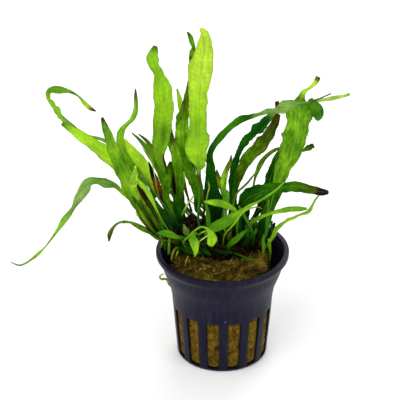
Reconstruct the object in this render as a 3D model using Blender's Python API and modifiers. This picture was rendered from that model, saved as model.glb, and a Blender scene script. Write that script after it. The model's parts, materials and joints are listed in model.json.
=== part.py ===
"""Potted narrow leaf java fern: a net pot, a mineral wool plug, rhizomes and fronds.

Metres, +Z up. The origin is the middle of the pot's base, and the front of the plant faces -Y.
The fronds follow routes measured by hand from the front, 29 degrees above level: how far each
point lies across and up from the pot's foot, and how far back it is.
"""

import math

import bmesh
import bpy
import numpy as np
from mathutils import Matrix, Vector

MM = 0.001
OBJECT_NAME = "potted_narrow_leaf_java_fern"

# Driving dimensions of the pot, in millimetres
POT_HEIGHT = 48.5
POT_RIM_RADIUS = 27.5
POT_MOUTH_RADIUS = 25.3
POT_WAIST_RADIUS = 22.4
POT_WAIST_HEIGHT = 36.0
POT_BASE_RADIUS = 18.9
POT_WALL = 0.9
POT_STEPS = 56
PLUG_STEPS = 28
SLOT_COUNT = 14
SLOT_WIDTH = 5.1
SLOT_BOTTOM = 1.3
SLOT_TOP = 24.2
SLOT_FIRST_DEG = 14.06
BASE_SLOT_COUNT = 7
BASE_SLOT_WIDTH = 2.6
BASE_SLOT_INNER = 7.5
BASE_SLOT_OUTER = 15.5

# Driving dimensions of the plug and the plant, in millimetres
GAP = 0.3
PLUG_TOP_RADIUS = 18.4
PLUG_HEIGHT = 45.4
RHIZOME_RADIUS = 1.8
BLADE_THICKNESS = 0.8
PETIOLE_THICKNESS = 1.2
TIP_THICKNESS = 0.35
BLADE_FOLD = 0.10

# The direction from which the routes were measured, in millimetres and degrees
VIEW_TILT = math.radians(29.0)
VIEW_DISTANCE = 800.0
VIEW_CENTRE_X = -9.3
VIEW_CENTRE_Z = 71.6
END_ON = math.sin(math.radians(30.0))
BEND_FOR_MIDPOINT = math.radians(13.0)
LENGTH_FOR_MIDPOINT = 9.0

# Colours, as linear red, green and blue
POT_COLOUR = (0.030, 0.028, 0.045)
PLUG_COLOUR = (0.16, 0.105, 0.02)
RHIZOME_COLOUR = (0.035, 0.022, 0.012)
TONES = {
    "fresh": (0.24, 0.50, 0.03),
    "mid": (0.12, 0.30, 0.02),
    "deep": (0.04, 0.14, 0.015),
    "pale": (0.42, 0.52, 0.08),
    "matt": (0.16, 0.30, 0.10),
    "mottled": (0.12, 0.17, 0.03),
    "dying": (0.09, 0.035, 0.012),
}

# Rhizomes: the line that each creeping stem follows, as x, y, z in millimetres
RHIZOMES = {
    "rhizome_front": [(-18.5, -1.4, 48.9), (-12, -0.4, 49.4), (-4, -0.5, 49.4), (3, -1.2, 49.2),
                      (7.5, -1.8, 48.9)],
    "rhizome_right": [(1.5, 3.2, 49.4), (8, 3.6, 49.8), (14, 2.4, 49.5), (19.5, 0.5, 48.9)],
    "rhizome_left": [(-22, 2.6, 49.3), (-18.8, 4.5, 51.3), (-16, 6.3, 55.6), (-12.9, 7.2, 58.9),
                     (-9.9, 6.7, 56.6), (-8.6, 5.7, 51.5)],
    "rhizome_back": [(-16.5, 13, 49.1), (-8, 14.5, 49.6), (2, 15, 49.8), (12, 13.5, 49.4),
                     (16, 12.3, 49.0)],
}

# Fronds: name, (rhizome, share of its length, degrees from its top towards the front), tone,
# turn of the blade in degrees at its foot, middle and tip, and the route as
# (across, up, back, width) in millimetres, from the foot to the tip
FRONDS = [
    ("frond_low_left_drooping", ("rhizome_front", 0.01, 20), "mottled", (0, 0, 0),
     [(-26, 44.2, -8, 1.2), (-31, 48, -9, 1.3), (-35.5, 50.3, -10, 1.0), (-40, 51.3, -11, 0.8),
      (-42.5, 50.5, -11.5, 0.8), (-44.5, 48.5, -12, 1.3), (-45.7, 46, -12, 1.8),
      (-46, 43.2, -12, 0.6)]),
    ("frond_mottled_low_left", ("rhizome_front", 0.01, -50), "mottled", (0, -10, -10),
     [(-24.5, 45.8, -2.5, 1.4), (-28, 48.8, -2.5, 2.4), (-31, 51.6, -3, 3.2),
      (-33, 54.4, -3, 3.2), (-34.3, 57.3, -3, 2.4), (-35.6, 60.5, -3, 0.9)]),
    ("frond_dark_tip_left", ("rhizome_front", 0.07, 0), "mid", (0, -30, -35),
     [(-22.5, 44, -5, 1.5), (-26, 48.2, -5.5, 2.4), (-29.5, 52.4, -6, 3.2), (-33, 57.2, -6, 3.8),
      (-36, 62.5, -6, 4.2), (-38.6, 67.3, -6, 4.8), (-41.3, 72.5, -6.5, 5.4),
      (-43, 77, -7, 5.4), (-45.2, 82, -8, 4.2), (-46.5, 86, -9, 3.4), (-47.8, 90, -10, 2.4),
      (-48.8, 93.4, -11, 1.0)]),
    ("frond_yellow_left", ("rhizome_front", 0.13, 40), "fresh", (0, -10, -20),
     [(-22, 46, -10.5, 0.9), (-27, 52, -12, 1.0), (-31, 57, -13, 1.2), (-34.5, 61.5, -14, 2.0),
      (-36.1, 65, -14.5, 2.8), (-36, 68.5, -15, 2.9), (-35.5, 71.3, -15.5, 2.3),
      (-35.2, 73.8, -16, 0.9)]),
    ("frond_bright_narrow_left", ("rhizome_front", 0.18, 45), "fresh", (0, 0, 0),
     [(-21.5, 47.4, -12.5, 0.9), (-25.5, 54, -17, 0.9), (-26.8, 56.5, -18.5, 1.3),
      (-28.5, 60, -19, 2.2), (-30.5, 63.8, -19.5, 2.2), (-32.5, 66.3, -20, 1.7),
      (-34.3, 68.6, -20.5, 0.5)]),
    ("frond_arching_front", ("rhizome_front", 0.28, 90), "fresh", (0, 0, 0),
     [(-15.6, 43, -11, 1.0), (-13.5, 45.2, -14, 0.9), (-10.5, 48, -16, 0.8),
      (-8.5, 49, -17, 0.8), (-6.6, 48.7, -17.5, 0.9), (-5.2, 47.3, -18, 1.9),
      (-4.3, 45.3, -18, 3.0), (-4, 43.5, -18, 3.6), (-4.1, 42.2, -18, 3.0),
      (-3.9, 41.2, -18, 0.8)]),
    ("frond_lying_left", ("rhizome_front", 0.33, 40), "mid", (0, 10, 0),
     [(-15.5, 44.6, -9, 1.2), (-18.5, 45, -13, 1.6), (-20.5, 45.8, -15, 2.5),
      (-23, 46.5, -16.5, 2.8), (-25, 46.6, -17.5, 1.9), (-26.4, 46.5, -18, 0.5)]),
    ("frond_tuft_front", ("rhizome_front", 0.43, -10), "matt", (0, 0, 0),
     [(-12.6, 44, -4, 1.0), (-13.8, 45.6, -4.5, 1.5), (-14.5, 47, -5, 2.6),
      (-15.1, 48.6, -5.5, 1.8), (-15.5, 50, -6, 0.5)]),
    ("frond_hanging_front", ("rhizome_front", 0.48, 60), "fresh", (0, 0, 0),
     [(-9.3, 43.8, -9.5, 0.9), (-9.9, 46, -10.5, 1.0), (-11.3, 46.2, -12, 1.6),
      (-11.9, 44.8, -12.8, 3.0), (-11.3, 43, -13.2, 3.8), (-10.8, 41, -13.5, 3.1),
      (-10.7, 39, -13.5, 2.0), (-11, 37, -13.5, 0.6)]),
    ("frond_leaning_front", ("rhizome_front", 0.57, 40), "fresh", (0, 0, 0),
     [(-6.5, 45.8, -8.5, 1.2), (-5, 47.6, -10, 2.4), (-3, 48.8, -11.5, 3.9),
      (0, 50.3, -13, 4.5), (3, 52, -14.5, 4.1), (6, 54, -16, 3.2), (9, 56, -17, 2.4),
      (12, 58, -18, 1.8), (15, 59.4, -19, 1.2), (18, 61.3, -19.5, 1.0),
      (21, 63.3, -20, 0.9), (25.4, 67.3, -20.5, 0.5)]),
    ("frond_pale_tip_centre", ("rhizome_front", 0.62, 0), "mid", (0, 0, 0),
     [(-5, 46, -4, 1.6), (-5.5, 52, -4.5, 2.0), (-5.9, 56, -5, 1.7), (-6.5, 59, -5.5, 1.3),
      (-6, 61, -5.5, 1.0), (-5.7, 63, -5.5, 1.0), (-5.1, 65.2, -5.5, 1.1),
      (-5.6, 67.4, -5.5, 0.5)]),
    ("frond_strand_front", ("rhizome_front", 0.74, 50), "fresh", (0, 0, 0),
     [(1.2, 46, -12, 0.9), (4.7, 50, -17, 1.2), (6.6, 52.6, -19, 1.1), (8, 54.4, -20, 1.1),
      (10, 56, -21, 1.1), (12.5, 56.8, -22, 1.0), (15, 57.1, -22.5, 0.8),
      (16.5, 56.3, -23, 0.4)]),
    ("frond_short_diagonal", ("rhizome_front", 0.82, 70), "mid", (0, 0, 0),
     [(2.8, 41.4, -8, 1.9), (5.2, 43.5, -9, 2.4), (8, 46, -10, 1.8), (10.5, 48.2, -11, 0.5)]),
    ("frond_on_plug", ("rhizome_front", 0.92, 95), "mid", (0, 0, 0),
     [(5.4, 38.2, -9.5, 1.1), (8, 37.2, -11.5, 1.5), (10, 36.1, -12.5, 1.3),
      (12.5, 35.4, -13, 1.2), (14.8, 35.2, -13.5, 0.5)]),
    ("frond_dead_short", ("rhizome_front", 0.02, 100), "dying", (0, 0, 0),
     [(-18.4, 40.6, -8.5, 1.3), (-19.3, 39.8, -10, 1.6), (-20.1, 38, -11, 1.2),
      (-20.6, 35.6, -11.5, 0.6)]),
    ("frond_arch_right", ("rhizome_right", 0.02, 30), "deep", (0, 42, 5),
     [(-0.6, 47, 2, 1.6), (-2.2, 51, 2, 3.4), (-2.6, 56, 2, 6.2), (-2.9, 61, 2, 6.8),
      (-3.7, 66, 2, 5.4), (-4, 71, 1.5, 4.4), (-4.4, 75, 1, 3.4), (-4.7, 79, 0, 2.2),
      (-2.6, 83.4, -1.5, 2.0), (0, 86.2, -3, 2.0), (3, 89.4, -5, 2.0), (6, 91.8, -7, 2.2),
      (9, 93.3, -9, 2.2), (12, 94.2, -11, 2.0), (15, 95, -13, 1.3), (18, 96.1, -14.5, 2.0),
      (21, 96.6, -16, 2.4), (24.5, 97.7, -17.5, 4.6), (28, 98, -18.5, 4.2),
      (31, 98.7, -19.5, 3.2), (35, 99.6, -20.5, 1.8), (39, 101, -21.5, 1.0),
      (44.5, 103.4, -22.5, 0.5)]),
    ("frond_olive_centre", ("rhizome_right", 0.10, 60), "mottled", (0, 0, 0),
     [(1.3, 48, -5, 1.2), (1.4, 54, -7, 1.4), (1.3, 60, -8, 1.7), (0.8, 64, -8.5, 2.0),
      (0.5, 67, -9, 2.8), (1, 69.5, -9.5, 2.4), (1.8, 72, -10, 2.0), (2.8, 74.3, -10.5, 1.7),
      (3.6, 76.3, -10.5, 1.2), (3.8, 78.3, -10.5, 0.4)]),
    ("frond_pointing_left", ("rhizome_right", 0.24, 60), "mid", (0, 10, 0),
     [(6.2, 50.5, -8, 1.1), (6.3, 54, -10.5, 1.2), (5, 56.2, -12, 1.7), (3, 57.3, -13, 2.3),
      (1, 58.2, -14, 2.9), (-1, 58.7, -15, 2.9), (-3, 59, -15.5, 2.6), (-5, 59.2, -16, 1.9),
      (-7.4, 59.4, -16.5, 0.5)]),
    ("frond_thin_branch_right", ("rhizome_right", 0.14, -60), "mid", (0, 0, 0),
     [(3.6, 52, 5.5, 0.8), (4.6, 58, 6.5, 0.8), (5.2, 61.3, 7, 0.8), (6.6, 63.4, 7.5, 0.8),
      (9, 65.6, 8, 0.9), (10.6, 67.2, 8, 0.9), (12.1, 69.1, 8, 0.8), (13.2, 70.4, 8, 0.6),
      (14.2, 72.6, 8, 0.4)]),
    ("frond_brown_tip_right", ("rhizome_right", 0.36, 20), "deep", (0, 15, 20),
     [(7.2, 50, -1, 1.4), (7.2, 54, -2, 2.8), (8.2, 58, -3.5, 4.6), (11, 60.8, -5.5, 6.2),
      (15, 62.8, -7.5, 6.2), (20, 64.3, -10, 4.8), (24, 64.8, -12, 3.8),
      (29, 65.3, -14, 4.2), (33, 64.9, -16, 3.8), (37, 64, -18, 3.2), (41, 63.1, -19.5, 2.8),
      (43.3, 63.1, -20.5, 1.5)]),
    ("frond_level_right", ("rhizome_right", 0.50, 45), "mid", (0, 0, 0),
     [(11, 48.8, -2.5, 1.2), (12.6, 51.2, -5, 1.7), (15, 52.6, -7, 1.6),
      (18, 53.9, -9, 1.3), (21, 54.9, -11, 1.4), (24, 55.6, -13, 1.9),
      (28, 56.3, -15, 2.1), (32, 56.4, -17, 1.9), (34.6, 56.5, -18, 0.9)]),
    ("frond_stem_right", ("rhizome_right", 0.62, 80), "mid", (0, 0, 0),
     [(12.7, 44.2, -5.5, 1.3), (11.6, 48.6, -8, 1.2), (10.1, 51.7, -9.5, 1.2),
      (8.5, 54.6, -10.5, 1.3), (6.9, 57.5, -11, 0.5)]),
    ("frond_broad_right", ("rhizome_right", 0.80, 60), "fresh", (0, 30, 20),
     [(17.3, 44.6, -3, 1.6), (18.3, 48, -2.5, 1.6), (19.2, 52, -1, 1.9), (19.7, 56, 0, 3.2),
      (20.5, 60, 1, 5.2), (22, 64, 2, 6.4), (23.6, 68, 3, 7.0), (25.4, 72, 3.5, 7.4),
      (27.7, 76, 4, 8.4), (29, 80, 4.5, 9.4), (30, 84, 5, 9.8), (31, 88, 5.5, 10.0),
      (31.4, 92, 6, 10.2), (31.8, 96, 6.5, 9.6), (32, 99.2, 7, 6.5), (32.5, 102, 7.5, 2.6),
      (33.4, 104, 8, 1.8), (35.3, 105.4, 8.5, 1.1), (37.3, 107, 9, 1.5),
      (38.6, 108.6, 9.5, 2.0), (39.4, 110.2, 10, 1.8)]),
    ("frond_wavy_right", ("rhizome_right", 0.96, 60), "pale", (0, 0, 0),
     [(20.9, 45.4, -3, 1.7), (22.2, 48.2, -3.5, 1.9), (24, 49.8, -4, 1.6),
      (25.6, 51, -5, 1.1), (27, 52, -6, 1.4), (29, 52.6, -7, 1.2), (31, 53.7, -8, 1.0),
      (33.2, 54.4, -9, 1.1), (35, 55.1, -10, 1.6), (36.3, 56.6, -10.5, 1.3),
      (37.1, 58.3, -11, 0.9), (38.4, 60.5, -11, 0.8), (39.6, 62, -11, 0.5)]),
    ("frond_long_trailing_left", ("rhizome_left", 0.02, 10), "matt", (0, -15, 0),
     [(-26, 49.5, 2.5, 1.1), (-30, 53, 1, 1.2), (-35, 58.3, -0.5, 1.2), (-40, 62.4, -2, 1.3),
      (-43.5, 65.8, -3, 2.0), (-47, 67, -4, 3.3), (-50, 67.7, -5, 2.7), (-53, 67.9, -6, 2.8),
      (-55.2, 67.2, -6.5, 3.8), (-56.7, 64.8, -7, 4.6), (-58.2, 61.8, -7.5, 4.2),
      (-60.8, 56.8, -8.5, 2.0), (-62.6, 54.3, -9, 2.8), (-64.6, 51.8, -10, 2.9),
      (-67.5, 47.3, -11, 1.6), (-72.5, 40.4, -12.5, 0.7), (-75.2, 37.8, -13.5, 1.3),
      (-78, 35.5, -14, 0.8), (-82.5, 33.4, -15, 0.7), (-86, 34.7, -16, 0.4)]),
    ("frond_shaded_left", ("rhizome_left", 0.08, 0), "deep", (0, -15, -15),
     [(-23.8, 51, 5, 1.4), (-28.5, 57, 5, 3.0), (-32, 61.5, 5, 3.0), (-34.6, 65, 5, 2.2),
      (-36.3, 68, 5, 0.9)]),
    ("frond_broad_left", ("rhizome_left", 0.14, -20), "fresh", (0, -35, -35),
     [(-22.5, 52.5, 8, 1.3), (-26, 56.5, 10, 1.6), (-30, 60.4, 12, 2.6), (-34, 64.8, 13, 4.0),
      (-38, 69, 14, 5.0), (-43.5, 75, 15, 6.0), (-48.5, 79.2, 16, 5.8),
      (-54, 83.4, 17, 4.6), (-60, 87.6, 18, 3.4), (-65.2, 91.2, 19, 1.3)]),
    ("frond_bright_left", ("rhizome_left", 0.20, 30), "fresh", (0, -30, -30),
     [(-21.5, 53.8, 1.5, 1.2), (-25, 59.8, 1, 1.8), (-27.5, 65, 0.5, 2.8), (-29.8, 70.5, 0, 3.5),
      (-32, 74.6, 0, 3.6), (-34.5, 78, 0, 3.1), (-37, 81.2, 0, 2.0), (-39.6, 85, 0, 0.5)]),
    ("frond_dying_left", ("rhizome_left", 0.26, 60), "dying", (0, 0, 0),
     [(-21.5, 56, -3, 1.0), (-24.5, 60.6, -4, 1.2), (-25.8, 64, -4, 2.2),
      (-27.1, 68, -4, 1.9), (-28.6, 72, -4, 1.6), (-29.8, 75.6, -4, 0.5)]),
    ("frond_pale_strand_left", ("rhizome_left", 0.33, 60), "pale", (0, 0, 0),
     [(-21.5, 55.6, -6.5, 0.8), (-25, 59.6, -8, 0.8), (-26.3, 64, -8.5, 0.8),
      (-27.4, 70, -9, 0.8), (-28.5, 74.8, -9, 0.8), (-30, 77.6, -9, 0.8),
      (-32.5, 81.3, -9, 0.4)]),
    ("frond_green_core_left", ("rhizome_left", 0.38, 0), "deep", (0, 0, 0),
     [(-20.6, 54.6, 5.5, 2.4), (-22.6, 58.4, 6.5, 4.0), (-23.2, 62, 7, 4.2),
      (-22.8, 66.5, 7, 3.9), (-21.8, 71, 7, 3.2), (-20.9, 75.5, 7, 1.2)]),
    ("frond_green_core", ("rhizome_left", 0.50, -30), "deep", (0, 0, 0),
     [(-17.4, 57, 10.5, 2.4), (-17.7, 62, 11, 4.2), (-17.5, 67, 11, 4.6), (-18, 73, 11, 4.4),
      (-18.9, 79, 11, 3.8), (-19.9, 84, 11, 2.2), (-20.7, 87.2, 11, 0.6)]),
    ("frond_tall_centre", ("rhizome_left", 0.97, 50), "fresh", (0, 12, 20),
     [(-9.6, 52, 1.5, 1.5), (-9.4, 58, 1.5, 1.5), (-9.1, 65, 1, 1.5), (-9.3, 71, 0.5, 1.5),
      (-9.4, 74.5, 0, 2.6), (-9.5, 77, 0, 7.0), (-9.6, 80, -0.5, 9.4), (-9.4, 85, -1, 8.8),
      (-9, 92, -2, 7.6), (-9, 100, -3, 8.0), (-8.8, 108, -4, 9.0), (-8.3, 115, -5, 9.6),
      (-7.4, 121, -6, 7.0), (-7.5, 126, -7, 4.2), (-8.7, 130, -8, 1.0)]),
    ("frond_hook_left", ("rhizome_back", 0.02, -20), "mid", (0, 0, 0),
     [(-21, 56.5, 19, 1.2), (-28, 64, 23, 1.4), (-38, 75, 27, 1.6), (-48, 84.3, 30, 1.4),
      (-56, 86.6, 32, 1.3), (-60, 89.3, 33, 1.9), (-62.7, 91.7, 33.5, 2.6),
      (-66, 95, 34, 2.4), (-68, 97.8, 34, 2.1), (-70.2, 100.8, 34, 1.5),
      (-70.9, 103.2, 34, 1.6), (-69.4, 105, 33.5, 2.2), (-66, 105.1, 33, 2.8),
      (-62, 104.2, 32, 1.3), (-58.5, 102.3, 31, 0.8), (-55.5, 99, 30, 1.8),
      (-53.5, 97.3, 29.5, 1.6), (-51.4, 96.2, 29, 0.6)]),
    ("frond_curly_tip_left", ("rhizome_back", 0.08, 0), "mid", (0, -10, 0),
     [(-18.5, 57, 16, 1.2), (-25, 63, 17.5, 1.5), (-30, 67.5, 18.5, 2.0), (-34.5, 72, 19.5, 2.6),
      (-37.8, 76.5, 20, 3.2), (-40.5, 81, 20.5, 3.5), (-41.5, 85, 21, 3.2),
      (-41, 88, 21.5, 2.7), (-39.5, 90, 21.5, 1.9), (-38, 91.5, 22, 1.6), (-36.5, 93, 22, 2.0),
      (-35.4, 95.5, 22, 2.1), (-35, 98, 22, 1.7), (-35.1, 102, 22, 1.4),
      (-35.2, 105.3, 22, 0.5)]),
    ("frond_slim_left_outer", ("rhizome_back", 0.15, -30), "mid", (0, 0, 0),
     [(-17.5, 58, 21, 0.9), (-22, 65, 23, 1.1), (-25, 70, 24, 1.5), (-29, 78, 25, 2.2),
      (-31, 81.5, 25.5, 2.0), (-34, 85, 26, 1.2), (-36.7, 87.4, 26.5, 0.4)]),
    ("frond_slim_left_inner", ("rhizome_back", 0.19, 10), "mid", (0, 0, 0),
     [(-16, 58, 15.5, 0.9), (-21, 66, 18.5, 1.0), (-25, 74, 20.5, 1.4), (-28.5, 81, 21, 2.0),
      (-31, 84.5, 21.5, 1.4), (-34, 86.9, 22, 0.4)]),
    ("frond_tall_left", ("rhizome_back", 0.26, 40), "fresh", (0, -15, -20),
     [(-14.6, 57, 14.5, 1.4), (-19, 65, 15, 1.8), (-23, 72, 15, 2.8), (-25.2, 77.5, 15, 5.0),
      (-25, 83, 15, 6.4), (-24.6, 90, 15.5, 7.4), (-24.1, 98, 16, 8.0), (-24.7, 105, 17, 7.4),
      (-26, 110.6, 18, 4.8), (-27.7, 115, 19, 4.3), (-28.3, 118.5, 20, 4.4),
      (-27.2, 122.8, 21, 1.2)]),
    ("frond_mottled_centre", ("rhizome_back", 0.36, 20), "mottled", (0, 10, 0),
     [(-9.8, 56, 14.5, 2.0), (-9.4, 61, 15, 3.4), (-10, 65, 15.5, 4.0), (-11.3, 68.5, 16, 4.2),
      (-13.3, 73, 16.5, 4.5), (-15.2, 78.5, 17, 5.0), (-16.2, 84, 17.5, 5.4),
      (-16.1, 91, 18.5, 5.2), (-15.6, 97, 19.5, 3.4), (-14.6, 104, 21, 1.9),
      (-13.7, 110, 22, 1.6), (-12.6, 117, 23, 1.6), (-11.6, 121, 24, 1.6),
      (-12.4, 124.5, 25, 1.7), (-14, 128.5, 26, 0.6)]),
    ("frond_slim_centre", ("rhizome_back", 0.42, -20), "fresh", (0, 0, 0),
     [(-8.8, 58, 19.5, 1.0), (-11.5, 74, 23, 1.5), (-15, 90, 26, 1.9), (-16.5, 97, 27, 2.3),
      (-17.3, 101.5, 28, 1.9), (-18.3, 105.4, 29, 0.5)]),
    ("frond_behind_right", ("rhizome_back", 0.60, 0), "deep", (0, 20, 20),
     [(3.4, 56, 15, 1.4), (4.2, 61, 16, 2.2), (4.3, 66, 17, 3.0), (4.9, 71, 18, 3.6),
      (5.8, 75, 19, 3.4), (7.3, 79, 19.5, 3.2), (9, 82.3, 20, 3.6), (11.5, 85.6, 21, 4.8),
      (14.3, 88, 22, 5.0), (16.8, 90.6, 23, 4.6), (19, 93, 24, 3.4), (21.3, 95.3, 25, 2.0),
      (22.9, 97.8, 25.5, 1.4), (22.3, 100.2, 26, 0.7)]),
    ("frond_olive_right", ("rhizome_back", 0.67, 50), "mottled", (0, 20, 20),
     [(5.2, 57, 12, 1.3), (5.2, 61, 12, 1.9), (5.8, 64.5, 12, 2.9), (7.2, 69, 12, 4.3),
      (8.6, 72.5, 11.5, 5.0), (10.6, 76, 11, 6.0), (13.2, 79.3, 10.5, 6.6),
      (16, 82.3, 10, 6.6), (18.3, 85.4, 10, 5.8), (20.3, 88.5, 10, 4.5), (22, 91.5, 10, 3.2),
      (23.2, 94.8, 10, 1.5)]),
    ("frond_crooked_right", ("rhizome_back", 0.80, -30), "mid", (0, 0, 0),
     [(11.2, 57, 19, 0.9), (12.7, 64, 20, 0.9), (13.3, 68, 20.5, 0.9), (14, 70.5, 20.5, 1.3),
      (15, 73, 21, 1.9), (16.2, 75.6, 21, 2.1), (18, 77.7, 21, 1.7), (20, 79.4, 21, 1.5),
      (22, 80.6, 20.5, 1.4), (24, 81.3, 20, 0.8)]),
    ("frond_dark_behind_right", ("rhizome_back", 0.84, 30), "deep", (0, 15, 15),
     [(13.6, 54, 13.5, 1.6), (15.8, 57, 13.5, 3.4), (17.6, 60.5, 13.5, 4.2),
      (18.9, 65, 13, 4.2), (20.2, 70, 13, 4.1), (21.7, 74.5, 12.5, 3.6),
      (23.2, 78.5, 12, 2.6), (24.6, 81.6, 12, 0.8)]),
    ("frond_pale_tip_right", ("rhizome_back", 0.91, -20), "pale", (0, 0, 0),
     [(17, 60, 19, 1.0), (21, 70, 22, 1.2), (26, 80, 24, 1.4), (30, 90, 25, 1.5),
      (34, 97.3, 26, 1.5), (38.5, 100.4, 26, 1.5), (42, 100.9, 26, 1.3),
      (45.2, 101.5, 26, 1.8), (47.7, 102, 26, 1.5), (50, 102.5, 26, 1.1),
      (52.1, 103.2, 26, 1.2)]),
    ("frond_curled_tip_right", ("rhizome_back", 0.97, 40), "fresh", (0, 0, 0),
     [(19.5, 60, 11.5, 1.2), (21.5, 66, 9.5, 1.4), (24.5, 74, 9.5, 2.0), (29, 86, 11, 2.8),
      (33, 95, 12.5, 3.0), (35.7, 98.4, 13.5, 3.0), (38.4, 98.6, 14.5, 3.0),
      (39.9, 96.6, 15, 2.9), (39.9, 94.3, 15, 2.6), (38.9, 92.5, 15, 1.2)]),
    ("frond_back_centre", ("rhizome_back", 0.48, -50), "mid", (0, 0, 0),
     [(-7.2, 58, 24, 1.4), (-8.6, 72, 31, 4.0), (-9, 86, 38, 5.8), (-9, 100, 45, 5.6),
      (-8.6, 110, 50, 3.6), (-8.3, 116, 53, 0.8)]),
    ("frond_back_left", ("rhizome_back", 0.31, -60), "mid", (0, -20, -20),
     [(-12, 59, 24, 1.4), (-16.6, 72, 31, 2.6), (-21, 84, 38, 3.6), (-24, 96, 44, 5.2),
      (-24.6, 105, 49, 4.0), (-25.5, 111, 52, 1.0)]),
    ("frond_back_right", ("rhizome_back", 0.87, -60), "mid", (0, 20, 20),
     [(15.6, 58, 24, 1.4), (20.2, 67, 29, 3.0), (25, 77, 34, 5.0), (29.4, 87, 39, 5.6),
      (31.6, 94, 43, 3.6), (32, 98, 46, 0.8)]),
    ("frond_back_drooping", ("rhizome_back", 0.54, -80), "deep", (0, 0, 0),
     [(0.5, 53, 24, 1.5), (1, 57, 31, 3.8), (1.4, 60, 38, 5.2), (1.8, 62.2, 45, 4.0),
      (2, 63.8, 51, 1.0)]),
    ("frond_back_drooping_left", ("rhizome_back", 0.12, -80), "mid", (0, 0, 0),
     [(-19, 54, 24, 1.4), (-22, 58, 31, 3.4), (-23.6, 61, 38, 4.2), (-24, 63.2, 45, 3.2),
      (-24, 64.6, 50, 0.8)]),
]

# Small growths that spring from elsewhere than a rhizome, with the same kind of route
SMALL_GROWTHS = [
    ("plantlet_right", "mottled", [(33.4, 80.3, 9.5, 1.2), (34.8, 81, 9.5, 2.2),
                                   (36.1, 81.7, 9.5, 1.8), (37.5, 82.3, 9.5, 0.7)]),
    ("petiole_stub_right", "dying", [(20.9, 47.6, 1.5, 1.3), (21.0, 49.2, 1, 1.3),
                                     (21.5, 50.6, 0.5, 0.9)]),
    ("crozier_left", "mottled", [(-19.3, 23.6, 9.5, 0.9), (-20.6, 24.9, 9, 0.9),
                                 (-21.6, 25.7, 7.5, 0.9), (-22.1, 26.9, 6.5, 0.9),
                                 (-23.1, 27.9, 5.5, 0.9), (-24.6, 27.7, 4.8, 0.9),
                                 (-25.4, 28.7, 4.4, 0.9), (-24.4, 29.6, 4, 0.6)]),
]


def clear_scene():
    """Remove the objects that the file starts with."""
    for item in list(bpy.data.objects):
        bpy.data.objects.remove(item, do_unlink=True)


def new_collection(name):
    """Make a collection under the scene's own."""
    collection = bpy.data.collections.new(name)
    bpy.context.scene.collection.children.link(collection)
    return collection


def material_for(name, colour, roughness):
    """Give one part its own Principled material."""
    material = bpy.data.materials.new(name)
    material.use_nodes = True
    shader = material.node_tree.nodes["Principled BSDF"]
    shader.inputs["Base Color"].default_value = (*colour, 1.0)
    shader.inputs["Roughness"].default_value = roughness
    shader.inputs["Metallic"].default_value = 0.0
    material.diffuse_color = (*colour, 1.0)
    return material


def add_object(name, mesh, collection, colour, roughness):
    """Link a mesh as a named object with its own material, shaded smooth."""
    item = bpy.data.objects.new(name, mesh)
    mesh.materials.append(material_for(name, colour, roughness))
    mesh.shade_smooth()
    mesh.set_sharp_from_angle(angle=math.radians(40))
    collection.objects.link(item)
    return item


def from_view(across, up, back):
    """Place a point that was measured from the front, in millimetres."""
    sine, cosine = math.sin(VIEW_TILT), math.cos(VIEW_TILT)
    foot_distance = VIEW_DISTANCE + VIEW_CENTRE_Z * sine
    foot_across = -VIEW_CENTRE_X * VIEW_DISTANCE / foot_distance
    foot_up = -VIEW_CENTRE_Z * cosine * VIEW_DISTANCE / foot_distance
    screen_x = across + foot_across
    screen_y = up + foot_up
    rise = (screen_y * (1 + back * cosine / VIEW_DISTANCE) - back * sine) / (
        cosine + screen_y * sine / VIEW_DISTANCE)
    depth = VIEW_DISTANCE + back * cosine - rise * sine
    return np.array([VIEW_CENTRE_X + screen_x * depth / VIEW_DISTANCE, back,
                     VIEW_CENTRE_Z + rise])


def viewpoint():
    """The point that the routes were measured from, in millimetres."""
    return np.array([VIEW_CENTRE_X, -VIEW_DISTANCE * math.cos(VIEW_TILT),
                     VIEW_CENTRE_Z + VIEW_DISTANCE * math.sin(VIEW_TILT)])


def smooth_line(points):
    """Run a smooth curve through the points, with a point added where it bends or is long."""
    points = np.array(points, dtype=float)
    steps = np.maximum(np.linalg.norm(np.diff(points[:, :3], axis=0), axis=1), 1e-6)
    slopes = np.diff(points, axis=0) / steps[:, None]
    tangents = np.vstack([slopes[:1], np.zeros((len(points) - 2, points.shape[1])), slopes[-1:]])
    for i in range(1, len(points) - 1):
        before, after = steps[i - 1], steps[i]
        tangents[i] = (slopes[i - 1] * after + slopes[i] * before) / (before + after)
    line = [points[0]]
    for i, step in enumerate(steps):
        start, end = tangents[i][:3], tangents[i + 1][:3]
        cosine = start @ end / (np.linalg.norm(start) * np.linalg.norm(end))
        bend = math.acos(np.clip(cosine, -1, 1))
        if bend > BEND_FOR_MIDPOINT or step > LENGTH_FOR_MIDPOINT:
            line.append((points[i] + points[i + 1]) / 2 + (tangents[i] - tangents[i + 1]) * step / 8)
        line.append(points[i + 1])
    return np.array(line)


def along_rhizome(name, share, turn):
    """The point on a rhizome's skin where a frond springs, and the way out of it."""
    line = np.array(RHIZOMES[name], dtype=float)
    steps = np.linalg.norm(np.diff(line, axis=0), axis=1)
    reach = np.clip(share, 0, 1) * steps.sum()
    piece = int(np.searchsorted(np.cumsum(steps), reach))
    piece = min(piece, len(steps) - 1)
    part = (reach - steps[:piece].sum()) / steps[piece]
    centre = line[piece] + (line[piece + 1] - line[piece]) * part
    way = (line[piece + 1] - line[piece]) / steps[piece]
    front = np.cross((0, 0, 1), way)
    front *= -np.sign(front[1]) / np.linalg.norm(front)
    upward = np.cross(way, front)
    upward *= np.sign(upward[2])
    outward = upward * math.cos(math.radians(turn)) + front * math.sin(math.radians(turn))
    return centre + outward * (RHIZOME_RADIUS + GAP), outward


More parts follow.
